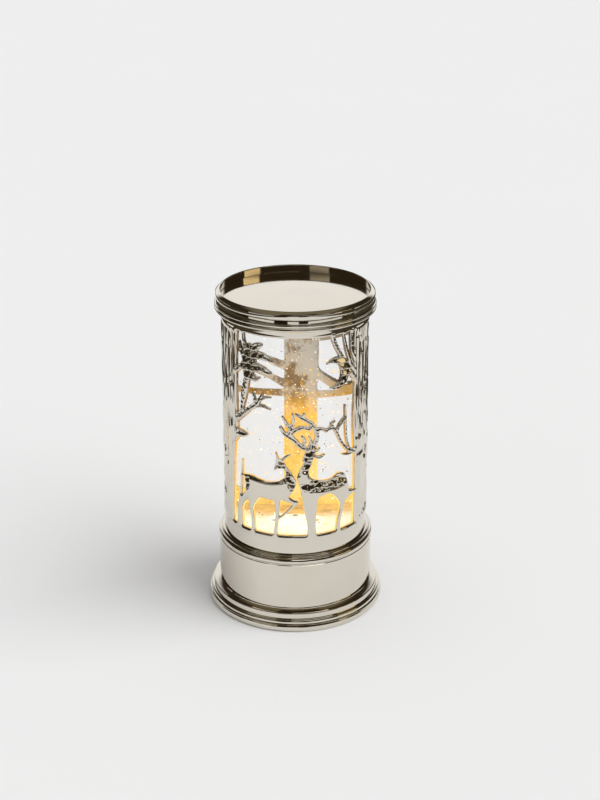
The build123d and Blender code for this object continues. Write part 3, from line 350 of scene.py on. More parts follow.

# %% [markdown]
# The sleeve has the same plating outside. Its inner side is duller, and the warm light of the lamps
# from below is painted on it as a glow, strongest near the tank's floor. Both are one material: the
# mesh carries a value that is 1 on the inner side and 0 outside, so the cut edges of the openings get
# the painted glow too.

# %% The sleeve's nickel and its lining with a painted glow
# Glow colours paint the lamps' light on the inner side as an emission; the lining is no lamp.
glow_color = (1.0, 0.64, 0.14)
high_glow_color = (0.96, 0.50, 0.05)
# Painted shade: the lining is dark at the sides. At the front and the rear it is pale, with brown cloudy
# patches.
shaded_lining = (0.13, 0.105, 0.075)
pale_lining, brown_mottle_color = (0.74, 0.71, 0.65), (0.31, 0.22, 0.12)
# The lining's base colour where the painted glow is strongest: dark brown, so the glow keeps its own hue.
under_glow_lining = (0.10, 0.06, 0.02)
lining_roughness = 0.33
upright_stretch = 2.4
rear_depths = (16.0 * mm, 26.0 * mm)
bare_trunk = (4.0 * mm, 17.0 * mm)
# Heights between which each effect fades out, upwards
glow_fade = (106.0 * mm, 126.0 * mm)
side_glow_fade = (132.0 * mm, 160.0 * mm)
fleck_fade = (140.0 * mm, 186.0 * mm)
yellow_fade = (76.0 * mm, 122.0 * mm)


def fade(tree, value, low, high):
    """From 1 at low to 0 at high."""
    return rise(tree, value, high, low)


def lining_colors(tree, x, rearward, cloud):
    """The lining's base colour: painted shade makes it dark at the sides; at the front and the rear it is
    pale with brown cloudy patches.
    """
    bare = between(tree, x, *bare_trunk, 2.5 * mm)
    brown_mottle = rise(tree, arithmetic(tree, "MULTIPLY_ADD", bare, -0.14, cloud), 0.44, 0.58)
    return blend_colors(tree, rearward, shaded_lining, blend_colors(tree, brown_mottle, pale_lining, brown_mottle_color))


def lining_glow(tree, x, z, rearward, cloud, mottle):
    """How strong the painted glow on the lining is: from below, with a ragged upper edge, streaks and flecks.
    """
    reach = fade(tree, arithmetic(tree, "MULTIPLY_ADD", cloud, -34.0 * mm, z), *glow_fade)
    level = multiply(tree, reach, straight(tree, mottle, 0.38, 0.60, 0.60, 1.15))
    far_out = rise(tree, arithmetic(tree, "ABSOLUTE", x), 15.0 * mm, 30.0 * mm)
    aside = multiply(tree, far_out, fade(tree, z, *side_glow_fade))
    level = arithmetic(tree, "MULTIPLY_ADD", aside, 0.16, level)
    flecks = multiply(tree, rise(tree, mottle, 0.565, 0.63), fade(tree, z, *fleck_fade))
    level = larger(tree, level, multiply(tree, flecks, 0.7))
    return multiply(tree, level, arithmetic(tree, "MULTIPLY_ADD", rearward, 0.3, 0.7))


def make_sleeve_metal():
    made, tree, shader = new_material("sleeve_nickel")
    shader.inputs["Metallic"].default_value = 1.0
    x, y, z = split_axes(tree, object_place(tree))
    inner = add_node(tree, "ShaderNodeAttribute", attribute_name="inner").outputs["Fac"]
    inside = rise(tree, inner, 0.0, 0.25)
    wear = add_wear(tree, 0.05, 0.06)
    rearward = rise(tree, arithmetic(tree, "ABSOLUTE", y), *rear_depths)
    upright = add_node(
        tree, "ShaderNodeCombineXYZ", inputs={0: multiply(tree, x, upright_stretch), 1: y, 2: z}
    ).outputs[0]
    mottle = noise(tree, upright, 190.0, 6.0, 0.85)
    cloud = noise(tree, upright, 70.0, 4.0, 0.7)
    level = multiply(tree, lining_glow(tree, x, z, rearward, cloud, mottle), inside)
    lining = lining_colors(tree, x, rearward, cloud)
    # The base colour turns dark brown as the painted glow grows.
    lining = blend_colors(tree, multiply(tree, level, 0.8), lining, under_glow_lining)
    outside = blend_colors(tree, wear["Tone"], nickel_color, nickel_dull)
    # Painted glow: the lining's emission stands in for the light of the lamps below.
    warm = blend_colors(tree, fade(tree, z, *yellow_fade), high_glow_color, glow_color)
    feed(
        tree, shader,
        Roughness=arithmetic(tree, "MULTIPLY_ADD", inside, lining_roughness, wear["Roughness"]),
        Base_Color=blend_colors(tree, inside, outside, lining),
        Emission_Color=blend_colors(tree, level, (0.0, 0.0, 0.0), warm),
    )
    shader.inputs["Emission Strength"].default_value = 1.0
    return made


sleeve_nickel = make_sleeve_metal()
print("sleeve metal:", len(sleeve_nickel.node_tree.nodes), "nodes")

# %% [markdown]
# Wall and water are one clear body with the water's bend of light. The lamps under the tank's floor
# light the glitter that lies on it, and that light is painted on the floor as a glow, palest towards the
# front. The flakes in the water are thin tinted foil with a painted glow: most glow gold or pale, and
# some are painted dark, as painted shade of a flake turned away from the light.


# %% Clear water
def make_clear():
    made, tree, shader = new_material("clear_water")
    shader.inputs["Transmission Weight"].default_value = 1.0
    shader.inputs["IOR"].default_value = 1.34
    shader.inputs["Roughness"].default_value = 0.0
    haze = noise(tree, object_place(tree), 25.0, 2.0)
    feed(tree, shader, Base_Color=blend_colors(tree, haze, (0.985, 0.985, 0.975), (1.0, 1.0, 1.0)))
    return made


clear_water = make_clear()
print("clear water:", len(clear_water.node_tree.nodes), "nodes")


# %% The lit bed of glitter and the flakes
def make_glow_bed():
    made, tree, shader = new_material("lit_glitter_bed")
    place = object_place(tree)
    cells = add_node(tree, "ShaderNodeTexVoronoi", inputs={"Vector": place, "Scale": 420.0}).outputs["Color"]
    drift = noise(tree, place, 60.0, 4.0, 0.65)
    speck = split_axes(tree, cells)[0]
    tone = arithmetic(tree, "MULTIPLY_ADD", speck, 0.25, multiply(tree, drift, 1.1))
    rearward = rise(tree, split_axes(tree, place)[1], 4.0 * mm, 30.0 * mm)
    # Painted glow of the lit glitter: pale at the front, deep amber towards the rear.
    pale = blend_colors(tree, rearward, (1.0, 0.97, 0.84), (0.95, 0.55, 0.13))
    deep = blend_colors(tree, rearward, (0.96, 0.82, 0.48), (0.30, 0.15, 0.03))
    feed(tree, shader, Emission_Color=blend_colors(tree, straight(tree, tone, 0.35, 0.95), deep, pale))
    shader.inputs["Base Color"].default_value = solid((0.30, 0.22, 0.10))
    shader.inputs["Emission Strength"].default_value = 0.95
    shader.inputs["Roughness"].default_value = 0.5
    return made


# Shares of the flakes, from 0 to 1, and the colour from there on. Each colour is also the flake's emission, a
# painted glow; the dark brown share is painted shade.
flake_colors = {
    0.0: (1.0, 0.62, 0.10),
    0.42: (0.16, 0.09, 0.04),
    0.58: (1.0, 0.80, 0.66),
    0.74: (1.0, 0.90, 0.62),
}


def make_glitter():
    made, tree, shader = new_material("glitter_flakes")
    glint = add_node(tree, "ShaderNodeAttribute", attribute_name="glint").outputs["Fac"]
    tints = add_node(tree, "ShaderNodeValToRGB", inputs={0: glint})
    tints.color_ramp.interpolation = "CONSTANT"
    stops = tints.color_ramp.elements
    stops.remove(stops[1])
    for share, color in flake_colors.items():
        stop = stops.new(share) if share else stops[0]
        stop.color = solid(color)
    # The tint is also the emission: painted glow and glints on the flakes.
    feed(tree, shader, Base_Color=tints.outputs[0], Emission_Color=tints.outputs[0])
    shader.inputs["Emission Strength"].default_value = 0.85
    shader.inputs["Metallic"].default_value = 0.6
    shader.inputs["Roughness"].default_value = 0.3
    return made


lit_bed = make_glow_bed()
glitter_flakes = make_glitter()
print("flake colours:", len(flake_colors))


# %% Mouldings with a painted glow, for the lamps' light shining through them
def make_lit_moulding(name, color, glow, strength):
    made = make_moulding(name, color, color, 0.35, 0.1, 1500.0, 0.1)
    tree = made.node_tree
    shader = next(node for node in tree.nodes if node.type == "BSDF_PRINCIPLED")
    cloud = noise(tree, object_place(tree), 120.0, 3.0)
    dim = tuple(0.75 * level for level in glow)
    # The glow is an emission; on the reflector, impeller and tank lid it is painted light, as they are no
    # lamps.
    feed(tree, shader, Emission_Color=blend_colors(tree, cloud, dim, glow))
    shader.inputs["Emission Strength"].default_value = strength
    return made


# Reflector, impeller and tank lid glow with painted light; the lamps' domes are the lamps themselves.
lit_moulding = make_lit_moulding("lit_moulding", (0.9, 0.85, 0.72), (1.0, 0.88, 0.62), 0.8)
lid_moulding = make_lit_moulding("lid_moulding", (0.82, 0.80, 0.76), (1.0, 0.85, 0.6), 0.06)
lamp_dome = make_lit_moulding("lamp_dome", (1.0, 0.85, 0.5), (1.0, 0.75, 0.35), 3.0)
print("materials:", len(bpy.data.materials))

# %% [markdown]
# ## Turned pieces
# The base, the collar and the top ring are round mouldings. Each is a profile turned round the axis.
# Their beads and coves are arcs, because a plated edge is never sharp, and the bright lines in such
# metal are the light on those small roundings.


# %% Corners and arcs of a profile
def round_corners(profile, radii, steps=5):
    """Replaces each corner of a closed (radius, height) profile by a small arc."""
    rounded = []
    for number, radius in enumerate(radii):
        corner = np.array(profile[number], float)
        into = np.array(profile[number - 1], float) - corner
        out = np.array(profile[(number + 1) % len(profile)], float) - corner
        room = 0.45 * min(np.linalg.norm(into), np.linalg.norm(out))
        into, out = into / np.linalg.norm(into), out / np.linalg.norm(out)
        half_angle = math.acos(float(np.clip(into @ out, -1.0, 1.0))) / 2
        reach = min(radius / max(math.tan(half_angle), 1e-6), room)
        if radius <= 0 or reach < 1e-4 or abs(half_angle - math.pi / 2) < 0.02:
            rounded.append(tuple(corner))
            continue
        start, end = corner + into * reach, corner + out * reach
        for share in np.linspace(0.0, 1.0, steps + 1):
            rest = 1 - share
            rounded.append(tuple(rest ** 2 * start + 2 * share * rest * corner + share ** 2 * end))
    return rounded


def bulged(start, end, bulge, steps=14):
    """Points from start to end along an arc that stands out by bulge, without its last point."""
    start, end = np.array(start, float), np.array(end, float)
    chord = end - start
    length = np.linalg.norm(chord)
    outward = np.array([chord[1], -chord[0]]) / length
    radius = (length ** 2 / 4 + bulge ** 2) / (2 * abs(bulge))
    middle = (start + end) / 2 + outward * (bulge - math.copysign(radius, bulge))
    first, last = (math.atan2(*(point - middle)[::-1]) for point in (start, end))
    sweep = (last - first + math.pi) % (2 * math.pi) - math.pi
    angles = [first + sweep * step / steps for step in range(steps)]
    return [(middle[0] + radius * math.cos(angle), middle[1] + radius * math.sin(angle)) for angle in angles]


print("a quarter round takes", len(bulged((1.0, 0.0), (0.0, 1.0), 0.29)), "points")


# %% The lathe
def keep_object(name, mesh, material):
    """An object at the origin for a finished mesh."""
    if material:
        mesh.materials.append(material)
    made = bpy.data.objects.new(name, mesh)
    scene.collection.objects.link(made)
    return made


def lathe(name, profile, material, turns=288, sharp_angle=38.0):
    """A closed profile of (radius, height) in millimetres, turned round the axis into a solid."""
    around = np.linspace(0, 2 * math.pi, turns, endpoint=False)
    vertices = [(r * math.cos(a) * mm, r * math.sin(a) * mm, z * mm) for r, z in profile for a in around]
    faces = []
    for number in range(len(profile)):
        low, high = number * turns, (number + 1) % len(profile) * turns
        for turn in range(turns):
            beside = (turn + 1) % turns
            faces.append((low + turn, low + beside, high + beside, high + turn))
    mesh = bpy.data.meshes.new(name)
    mesh.from_pydata(vertices, [], faces)
    body = bmesh.new()
    body.from_mesh(mesh)
    bmesh.ops.remove_doubles(body, verts=body.verts, dist=1e-6)
    bmesh.ops.recalc_face_normals(body, faces=body.faces)
    body.to_mesh(mesh)
    body.free()
    mesh.shade_smooth()
    mesh.set_sharp_from_angle(angle=math.radians(sharp_angle))
    return keep_object(name, mesh, material)


def place_piece(made, body, slot, *nodes):
    """Fixes a piece to a body of the frame, where it takes the place of the named CAD nodes."""
    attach(made, body)
    if nodes:
        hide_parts(*nodes)
    print(made.name, len(made.data.polygons), "faces")


# %% Base casing
casing = [(56.7, 0.6)]
casing += [(60.8, 0.6)] + bulged((61.0, 0.75), (60.5, 5.0), 0.55)
casing += [(60.6, 5.0), (60.3, 5.2), (59.75, 5.2)]
casing += bulged((59.75, 5.3), (59.3, 8.0), 0.45) + [(59.3, 8.0), (58.9, 8.2), (58.25, 8.2)]
casing += bulged((58.0, 8.3), (57.8, 11.7), 0.12) + bulged((57.8, 11.75), (57.2, 12.4), 0.15)
casing += bulged((57.2, 12.4), (53.4, 13.5), -0.15) + [(53.4, 13.5), (53.4, 13.9)]
casing += [(53.4, 46.35), (53.2, 46.6), (38.4, 46.6), (38.4, 44.4), (51.2, 44.4), (51.2, 13.2), (56.7, 5.0)]
casing_shell = lathe("casing_shell", casing, polished_nickel)
place_piece(casing_shell, "lantern", "plated", "base_casing")

# %% Collar
collar = [(49.5, 46.6), (52.9, 46.6), (53.1, 46.8), (53.1, 47.2)]
collar += bulged((53.1, 47.3), (53.1, 51.2), 0.9)
collar += [(53.1, 51.3), (52.6, 51.45), (52.15, 51.6)] + bulged((52.1, 51.6), (50.7, 53.1), 0.3)
collar += [(50.5, 53.2), (49.6, 53.2), (49.5, 53.1)]
collar_band = lathe("collar_band", collar, polished_nickel)
place_piece(collar_band, "lantern", "plated", "collar_ring")

# %% Top ring and mirror plate
ring = [(49.5, 213.75), (53.3, 213.7)]
ring += bulged((53.5, 213.9), (53.5, 216.3), 0.85)
ring += [(53.4, 216.5)] + bulged((53.5, 216.7), (53.5, 219.1), 0.85)
ring += [(53.4, 219.3), (53.55, 219.4)] + bulged((53.75, 219.6), (53.32, 221.9), 0.03)
ring += [(53.3, 221.95), (53.1, 222.1), (53.1, 222.3), (53.35, 222.42)]
ring += bulged((53.5, 222.55), (53.45, 225.2), 0.2) + bulged((53.45, 225.25), (51.1, 227.2), 0.15)
ring += [(50.95, 227.28), (50.75, 227.25), (50.55, 227.1), (50.45, 226.9), (50.4, 226.7), (50.4, 226.4)]
ring += [(50.4, 219.3), (50.4, 219.0), (49.5, 219.0)]
ring_band = lathe("ring_band", ring, polished_nickel)
place_piece(ring_band, "lantern", "plated", "top_ring")
plate = round_corners([(0.0, 219.0), (50.2, 219.0), (50.2, 222.0), (0.0, 222.0)], [0, 0.2, 0.3, 0])
mirror_plate = lathe("mirror_plate", plate, plate_nickel)
place_piece(mirror_plate, "lantern", "plate_mirror", "top_plate")

# %% [markdown]
# ## The relief sleeve
# On the real lantern the sleeve is one moulding, plated all over. Its trees and deer are rounded like
# cast metal, and the openings between them let the light out. It is drawn here unrolled, as arc along
# a radius of 50 mm from the middle of the front, and height. A field tells how far each point is inside
# the metal, a smooth swelling is worked out from that field, and the sheet is rolled up at the end.

# %% The drawing, in millimetres: limbs are chains of (arc, height, half width)
drawn_radius = 50.0
sleeve_bottom, sleeve_top = 46.6, 219.0
opening_bottom, opening_top = 67.0, 207.9
inner_radius = 46.85
rear_arc = math.pi * drawn_radius

moon_center, moon_radius = (30.0, 181.2), 11.2
moon_bite_center, moon_bite_radius = (25.0, 180.3), 8.6
doe_body = [
    (-38.2, 104.4), (-33.6, 107.2), (-26.0, 106.1), (-20.0, 105.4), (-12.5, 106.6), (-8.0, 109.4),
    (-6.5, 113.0), (-8.6, 116.3), (-12.0, 115.6), (-14.9, 114.4), (-14.4, 117.6), (-12.6, 122.0),
    (-9.6, 122.9), (-5.2, 117.0), (-1.2, 111.2), (0.7, 106.6), (-0.6, 101.4), (-4.0, 96.6),
    (-8.5, 93.4), (-14.0, 92.2), (-21.0, 92.6), (-27.0, 92.8), (-33.0, 91.0), (-38.0, 88.4),
    (-39.4, 90.0), (-37.8, 94.5), (-38.0, 99.5),
]
stag_body = [
    (2.6, 104.4), (1.0, 109.4), (2.6, 114.4), (5.0, 119.0), (6.4, 123.0), (10.0, 125.6),
    (12.6, 123.6), (11.0, 118.4), (9.2, 113.2), (11.8, 108.8), (19.0, 106.4), (25.6, 106.6),
    (31.6, 109.2), (37.0, 107.6), (40.2, 101.0), (41.0, 95.4), (46.5, 92.8), (49.0, 90.4),
    (44.0, 89.4), (38.6, 87.0), (34.8, 85.4), (31.0, 90.2), (25.4, 95.6), (18.0, 94.6),
    (12.0, 91.0), (6.0, 93.0),
]
doe_limbs = [
    [(-43.0, 103.2, 0.5), (-38.5, 105.6, 0.8), (-33.5, 105.4, 1.6)],
    [(-36.5, 91.5, 3.0), (-41.0, 86.5, 2.3), (-43.2, 80.0, 1.5), (-42.8, 74.0, 1.4), (-43.4, 63.0, 2.0)],
    [(-29.8, 94.0, 4.2), (-33.0, 84.5, 1.8), (-31.6, 76.0, 1.3), (-31.0, 63.0, 1.7)],
    [(-12.8, 95.0, 2.4), (-12.6, 82.0, 1.4), (-13.6, 72.0, 1.3), (-14.2, 63.0, 1.7)],
    [(-8.5, 96.0, 3.0), (-4.0, 93.4, 1.8), (0.4, 91.4, 1.6)],
    [(0.6, 91.6, 1.4), (-3.6, 86.8, 1.0), (-8.6, 81.6, 0.9), (-11.8, 79.4, 1.0)],
    [(-12.0, 121.5, 1.2), (-13.4, 127.4, 0.5)],
    [(-9.8, 121.4, 1.2), (-6.6, 124.8, 1.0), (-3.8, 126.4, 0.6)],
]
stag_limbs = [
    [(6.2, 122.4, 1.5), (9.0, 126.0, 2.8), (12.2, 129.8, 2.6), (13.0, 133.0, 1.5)],
    [(13.2, 125.0, 1.2), (16.8, 123.6, 1.3), (20.4, 125.0, 0.7)],
    [(13.4, 129.6, 0.9), (15.6, 128.6, 0.9), (17.0, 130.2, 0.6)],
    [(8.8, 98.0, 4.6), (9.6, 84.0, 3.2), (11.0, 74.0, 2.5), (11.4, 63.0, 3.2)],
    [(13.0, 98.0, 3.4), (12.8, 84.0, 2.2), (12.8, 74.0, 1.7), (12.8, 63.0, 2.2)],
    [(36.4, 97.0, 5.0), (35.6, 89.0, 2.6), (35.4, 83.0, 1.7), (32.8, 74.0, 1.4), (31.4, 63.0, 2.0)],
]
antler_limbs = [
    [(12.6, 131.0, 1.85), (8.4, 130.2, 1.55), (3.6, 132.4, 1.55), (0.0, 136.0, 1.55), (-4.0, 139.2, 1.45),
     (-8.0, 142.0, 1.35), (-10.2, 146.0, 0.95)],
    [(12.8, 132.6, 1.75), (14.9, 137.6, 1.55), (14.4, 143.2, 1.55), (11.6, 147.8, 1.45), (7.6, 150.8, 1.35),
     (3.4, 153.2, 1.25), (0.4, 155.6, 0.85)],
    [(0.4, 135.6, 1.45), (-2.6, 140.6, 1.25), (0.4, 144.2, 1.35), (5.0, 145.6, 1.25), (10.4, 144.6, 0.95)],
    [(-5.0, 140.0, 1.45), (-3.2, 144.8, 1.25), (-6.0, 148.2, 1.15), (-8.8, 153.4, 0.75)],
    [(-3.2, 144.8, 1.35), (-1.4, 149.6, 1.15), (-2.0, 155.6, 0.75)],
    [(12.0, 147.4, 1.45), (10.2, 145.2, 1.25), (9.8, 144.6, 1.15)],
    [(4.4, 132.0, 1.35), (6.6, 136.0, 1.25), (4.6, 139.4, 0.85)],
    [(9.0, 130.4, 1.25), (10.8, 135.0, 1.15), (9.6, 139.0, 0.75)],
    [(14.4, 143.0, 1.45), (18.0, 143.8, 1.15), (22.0, 141.8, 1.25)],
    [(5.4, 152.0, 1.25), (6.0, 155.8, 0.75)],
]
left_tree_limbs = [
    [(-50.0, 133.4, 3.6), (-43.0, 135.0, 2.8), (-37.6, 135.6, 1.5)],
    [(-50.0, 143.6, 3.4), (-42.0, 148.6, 2.6), (-34.0, 155.0, 1.9), (-29.5, 158.4, 1.9),
     (-26.0, 162.4, 1.5), (-23.4, 167.4, 0.8)],
    [(-28.4, 159.4, 1.2), (-30.6, 167.0, 0.6)],
    [(-25.0, 163.4, 1.2), (-20.8, 165.6, 0.9), (-17.0, 166.0, 0.5)],
    [(-30.0, 157.6, 1.3), (-23.6, 159.2, 1.1), (-17.6, 157.6, 0.6)],
    [(-41.4, 116.4, 0.4), (-41.8, 104.0, 1.0), (-42.6, 92.0, 1.1), (-44.8, 80.0, 1.5), (-45.2, 63.0, 1.9)],
    [(-50.0, 178.0, 2.6), (-44.0, 181.6, 2.0), (-38.0, 186.4, 2.4), (-33.0, 191.0, 2.6)],
    [(-43.4, 200.4, 0.6), (-41.0, 194.4, 1.3), (-37.0, 188.4, 2.2)],
    [(-39.4, 212.0, 1.2), (-38.8, 203.0, 0.9), (-36.0, 196.0, 1.8)],
]
owl_limbs = [
    [(-34.2, 198.0, 3.2), (-33.6, 191.0, 5.4), (-34.6, 184.0, 4.8), (-36.0, 176.0, 2.6),
     (-38.4, 166.0, 2.8), (-41.2, 152.0, 1.2)],
    [(-33.0, 194.0, 3.0), (-28.6, 199.4, 2.8), (-24.6, 201.6, 1.5)],
    [(-32.0, 191.6, 3.4), (-27.0, 194.0, 2.8), (-21.0, 193.6, 2.2), (-15.4, 191.0, 0.7)],
    [(-32.0, 187.0, 3.0), (-27.0, 185.6, 2.8), (-22.0, 184.4, 2.4), (-17.6, 183.0, 1.4)],
    [(-34.0, 180.0, 2.6), (-29.0, 177.4, 2.0), (-25.6, 178.4, 0.8)],
]
right_tree_limbs = [
    [(24.4, 213.0, 1.7), (27.6, 203.4, 1.6), (31.4, 196.0, 1.6), (36.4, 188.0, 1.8), (42.0, 180.4, 2.2),
     (50.0, 172.0, 3.2)],
    [(34.4, 213.0, 1.2), (36.4, 203.0, 1.0), (39.0, 194.4, 1.4), (43.0, 185.4, 1.7), (50.0, 177.0, 2.4)],
    [(43.2, 213.0, 1.9), (43.4, 203.0, 1.6), (44.4, 193.0, 1.5), (50.0, 183.0, 2.4)],
    [(52.0, 119.0, 2.8), (45.0, 121.8, 1.8), (38.6, 125.4, 1.3), (33.0, 133.0, 1.1), (30.0, 139.4, 1.1),
     (26.6, 143.0, 1.2), (21.0, 141.8, 1.0)],
    [(46.0, 120.8, 1.5), (40.6, 120.6, 1.2), (35.6, 121.8, 0.7)],
    [(43.0, 122.6, 1.3), (39.4, 131.0, 0.9), (38.2, 143.0, 0.8), (37.8, 156.6, 0.5)],
    [(38.0, 148.0, 1.0), (35.0, 145.6, 1.3), (32.6, 143.6, 1.1), (30.4, 139.6, 1.0)],
    [(27.0, 142.6, 1.2), (26.0, 146.0, 1.0), (28.4, 147.4, 0.7)],
]
left_trunk_edge = [
    (-44.6, 213.0), (-46.2, 190.0), (-46.6, 165.0), (-46.0, 150.0), (-45.4, 137.0), (-46.0, 129.4),
    (-49.4, 124.6), (-51.2, 105.0), (-52.4, 62.0),
]
right_trunk_edge = [
    (46.4, 213.0), (46.0, 190.0), (47.4, 170.0), (46.2, 150.0), (46.6, 130.0), (48.6, 108.0), (48.0, 62.0),
]

# Pointed gaps between the trunks of the side groups: nodes of (arc, height, half width)
side_gaps = [
    [(-52.0, 172.0, 0.6), (-51.6, 188.0, 1.7), (-50.4, 204.0, 1.2)],
    [(-58.6, 166.0, 0.6), (-58.4, 184.0, 1.5), (-57.0, 203.0, 1.3)],
    [(-66.0, 170.0, 0.6), (-65.4, 190.0, 1.9), (-65.6, 205.0, 1.0)],
    [(-60.0, 108.0, 0.5), (-60.8, 128.0, 1.3), (-60.0, 150.0, 0.6)],
    [(-72.4, 128.0, 0.6), (-73.0, 156.0, 2.2), (-72.0, 182.0, 0.8)],
    [(-74.0, 72.0, 1.8), (-74.4, 92.0, 2.4), (-73.0, 114.0, 0.6)],
    [(-86.0, 150.0, 0.8), (-86.6, 176.0, 2.6), (-84.0, 204.0, 1.6)],
    [(-88.0, 72.0, 2.6), (-88.6, 96.0, 3.0), (-86.4, 126.0, 0.8)],
    [(52.4, 146.0, 0.6), (52.8, 168.0, 1.5), (54.2, 196.0, 1.5)],
    [(60.0, 158.0, 0.6), (60.6, 180.0, 1.6), (61.6, 204.0, 1.2)],
    [(61.6, 112.0, 0.5), (61.0, 130.0, 1.1), (61.6, 146.0, 0.5)],
    [(68.6, 150.0, 0.8), (69.4, 172.0, 2.2), (68.6, 200.0, 1.2)],
    [(72.0, 72.0, 2.0), (72.6, 96.0, 2.6), (71.0, 124.0, 0.6)],
    [(80.0, 140.0, 0.8), (81.0, 170.0, 2.6), (80.0, 202.0, 1.6)],
    [(88.0, 72.0, 2.6), (88.4, 100.0, 3.0), (87.0, 130.0, 0.8)],
]

# Rear scene, drawn from the middle of the rear, positive towards -X: a trunk between two windows
rear_trunk_edges = (3.8, -7.3)
rear_window_edge = 55.0
rear_boughs = [
    [(60.0, 145.4, 2.2), (40.0, 144.8, 2.0), (20.0, 142.4, 1.9), (0.0, 141.6, 2.6)],
    [(24.0, 176.0, 1.0), (15.0, 170.6, 1.6), (9.0, 166.0, 2.0), (3.0, 160.8, 2.4)],
    [(16.0, 159.6, 1.2), (9.0, 154.2, 1.7), (3.0, 147.4, 2.0)],
    [(32.0, 144.0, 2.0), (30.0, 128.0, 1.5), (33.0, 114.0, 0.8)],
    [(60.0, 92.0, 3.0), (48.0, 98.0, 2.2), (38.0, 98.0, 1.3), (32.0, 92.0, 0.7)],
    [(60.0, 196.0, 3.0), (44.0, 186.0, 2.4), (30.0, 180.0, 1.6), (24.0, 176.0, 0.9)],
]
rear_crown = [
    [(-60.0, 142.0, 2.4), (-40.0, 141.0, 2.2), (-20.0, 140.8, 2.1), (0.0, 140.0, 2.8)],
    [(-5.6, 213.0, 2.6), (-5.4, 150.0, 2.3)],
    [(-5.0, 160.0, 2.2), (-9.0, 153.5, 1.6), (-14.0, 146.0, 1.7), (-20.0, 142.0, 1.8)],
    [(-4.0, 182.0, 3.0), (-12.0, 183.0, 2.6), (-22.0, 188.0, 2.4), (-40.0, 196.0, 2.4), (-60.0, 200.0, 3.0)],
    [(-30.0, 141.0, 2.2), (-27.0, 150.0, 1.6), (-31.0, 160.0, 1.1), (-30.0, 168.0, 0.7)],
    [(-60.0, 104.0, 3.0), (-46.0, 100.0, 2.2), (-34.0, 104.0, 1.2), (-28.0, 110.0, 0.7)],
]

front_limbs = doe_limbs + stag_limbs + antler_limbs + left_tree_limbs + owl_limbs + right_tree_limbs
print("limbs in front:", len(front_limbs), "and behind:", len(rear_boughs + rear_crown))

# %% The unrolled grid
columns, rows = 628, 346
turn_length = 2 * math.pi * drawn_radius
grid_arc = (np.arange(columns) / columns - 0.5) * turn_length
grid_height = np.linspace(sleeve_bottom, sleeve_top, rows)
arc_step = turn_length / columns
height_step = grid_height[1] - grid_height[0]
outside = -99.0
print("grid", columns, "by", rows, "steps", round(arc_step, 3), round(height_step, 3))


def grid_part(points, margin):
    """The grid round some points: its columns and rows, and the place of each of its points."""
    low_arc, low_height = points[:, :2].min(axis=0) - margin
    high_arc, high_height = points[:, :2].max(axis=0) + margin
    first = math.floor((low_arc / turn_length + 0.5) * columns)
    last = math.ceil((high_arc / turn_length + 0.5) * columns)
    numbers = np.arange(first, last + 1)
    rows_in = np.nonzero((grid_height >= low_height) & (grid_height <= high_height))[0]
    part_arcs = (numbers / columns - 0.5) * turn_length
    place = np.stack(np.meshgrid(part_arcs, grid_height[rows_in], indexing="ij"), axis=-1)
    return numbers % columns, rows_in, place


def curve_through(nodes, per_side=8, closed=False):
    """A smooth run of points through the nodes."""
    nodes = np.array(nodes, float)
    count = len(nodes)
    steps = np.linspace(0, 1, per_side, endpoint=False)[:, None]
    points = []
    for number in range(count if closed else count - 1):
        around = [number - 1, number, number + 1, number + 2]
        around = [k % count for k in around] if closed else [min(max(k, 0), count - 1) for k in around]
        a, b, c, d = nodes[around]
        bend = 2 * a - 5 * b + 4 * c - d + steps * (3 * (b - c) + d - a)
        points.append(b + 0.5 * steps * (c - a + steps * bend))
    if not closed:
        points.append(nodes[-1:])
    return np.vstack(points)


# %% Fields: how far inside a shape each point of the grid is
def nearest_on(start, along, place):
    """How far along a straight line from start each place has its nearest point, and how far off it is."""
    share = np.clip(((place - start) @ along) / max(along @ along, 1e-9), 0.0, 1.0)
    return share, np.linalg.norm(place - start - share[..., None] * along, axis=-1)


def limb_field(nodes, shift=0.0):
    """A tapering limb along a chain of nodes."""
    points = curve_through(nodes)
    points[:, 0] += shift
    columns_in, rows_in, place = grid_part(points, points[:, 2].max() + 4.0)
    field = np.full(place.shape[:2], outside)
    for start, end in zip(points, points[1:]):
        share, apart = nearest_on(start[:2], (end - start)[:2], place)
        field = np.maximum(field, start[2] + share * (end[2] - start[2]) - apart)
    return columns_in, rows_in, field


def outline_field(corners, margin):
    """The area within a closed outline."""
    columns_in, rows_in, place = grid_part(corners, margin)
    nearest = np.full(place.shape[:2], 1e9)
    within = np.zeros(place.shape[:2], bool)
    for start, end in zip(corners, np.roll(corners, -1, axis=0)):
        along = end - start
        nearest = np.minimum(nearest, nearest_on(start, along, place)[1])
        if start[1] != end[1]:
            crosses = (start[1] > place[..., 1]) != (end[1] > place[..., 1])
            at = start[0] + (place[..., 1] - start[1]) * along[0] / along[1]
            within ^= crosses & (place[..., 0] < at)
    return columns_in, rows_in, np.where(within, nearest, -nearest)


def window_field(left_edge, right_edge, shift=0.0):
    """A window between two edges, each a list of (arc, height) from the top down."""
    corners = np.array(left_edge + right_edge[::-1], float)
    corners[:, 1] = np.clip(corners[:, 1], opening_bottom, opening_top)
    corners[:, 0] += shift
    return outline_field(corners, 12)


def crescent_field():
    """The moon: a disc with a smaller disc cut out of it."""
    columns_in, rows_in, place = grid_part(np.add.outer((-moon_radius, moon_radius), moon_center), 4)
    disc = moon_radius - np.linalg.norm(place - np.array(moon_center), axis=-1)
    bite = np.linalg.norm(place - np.array(moon_bite_center), axis=-1) - moon_bite_radius
    return columns_in, rows_in, np.minimum(disc, bite)


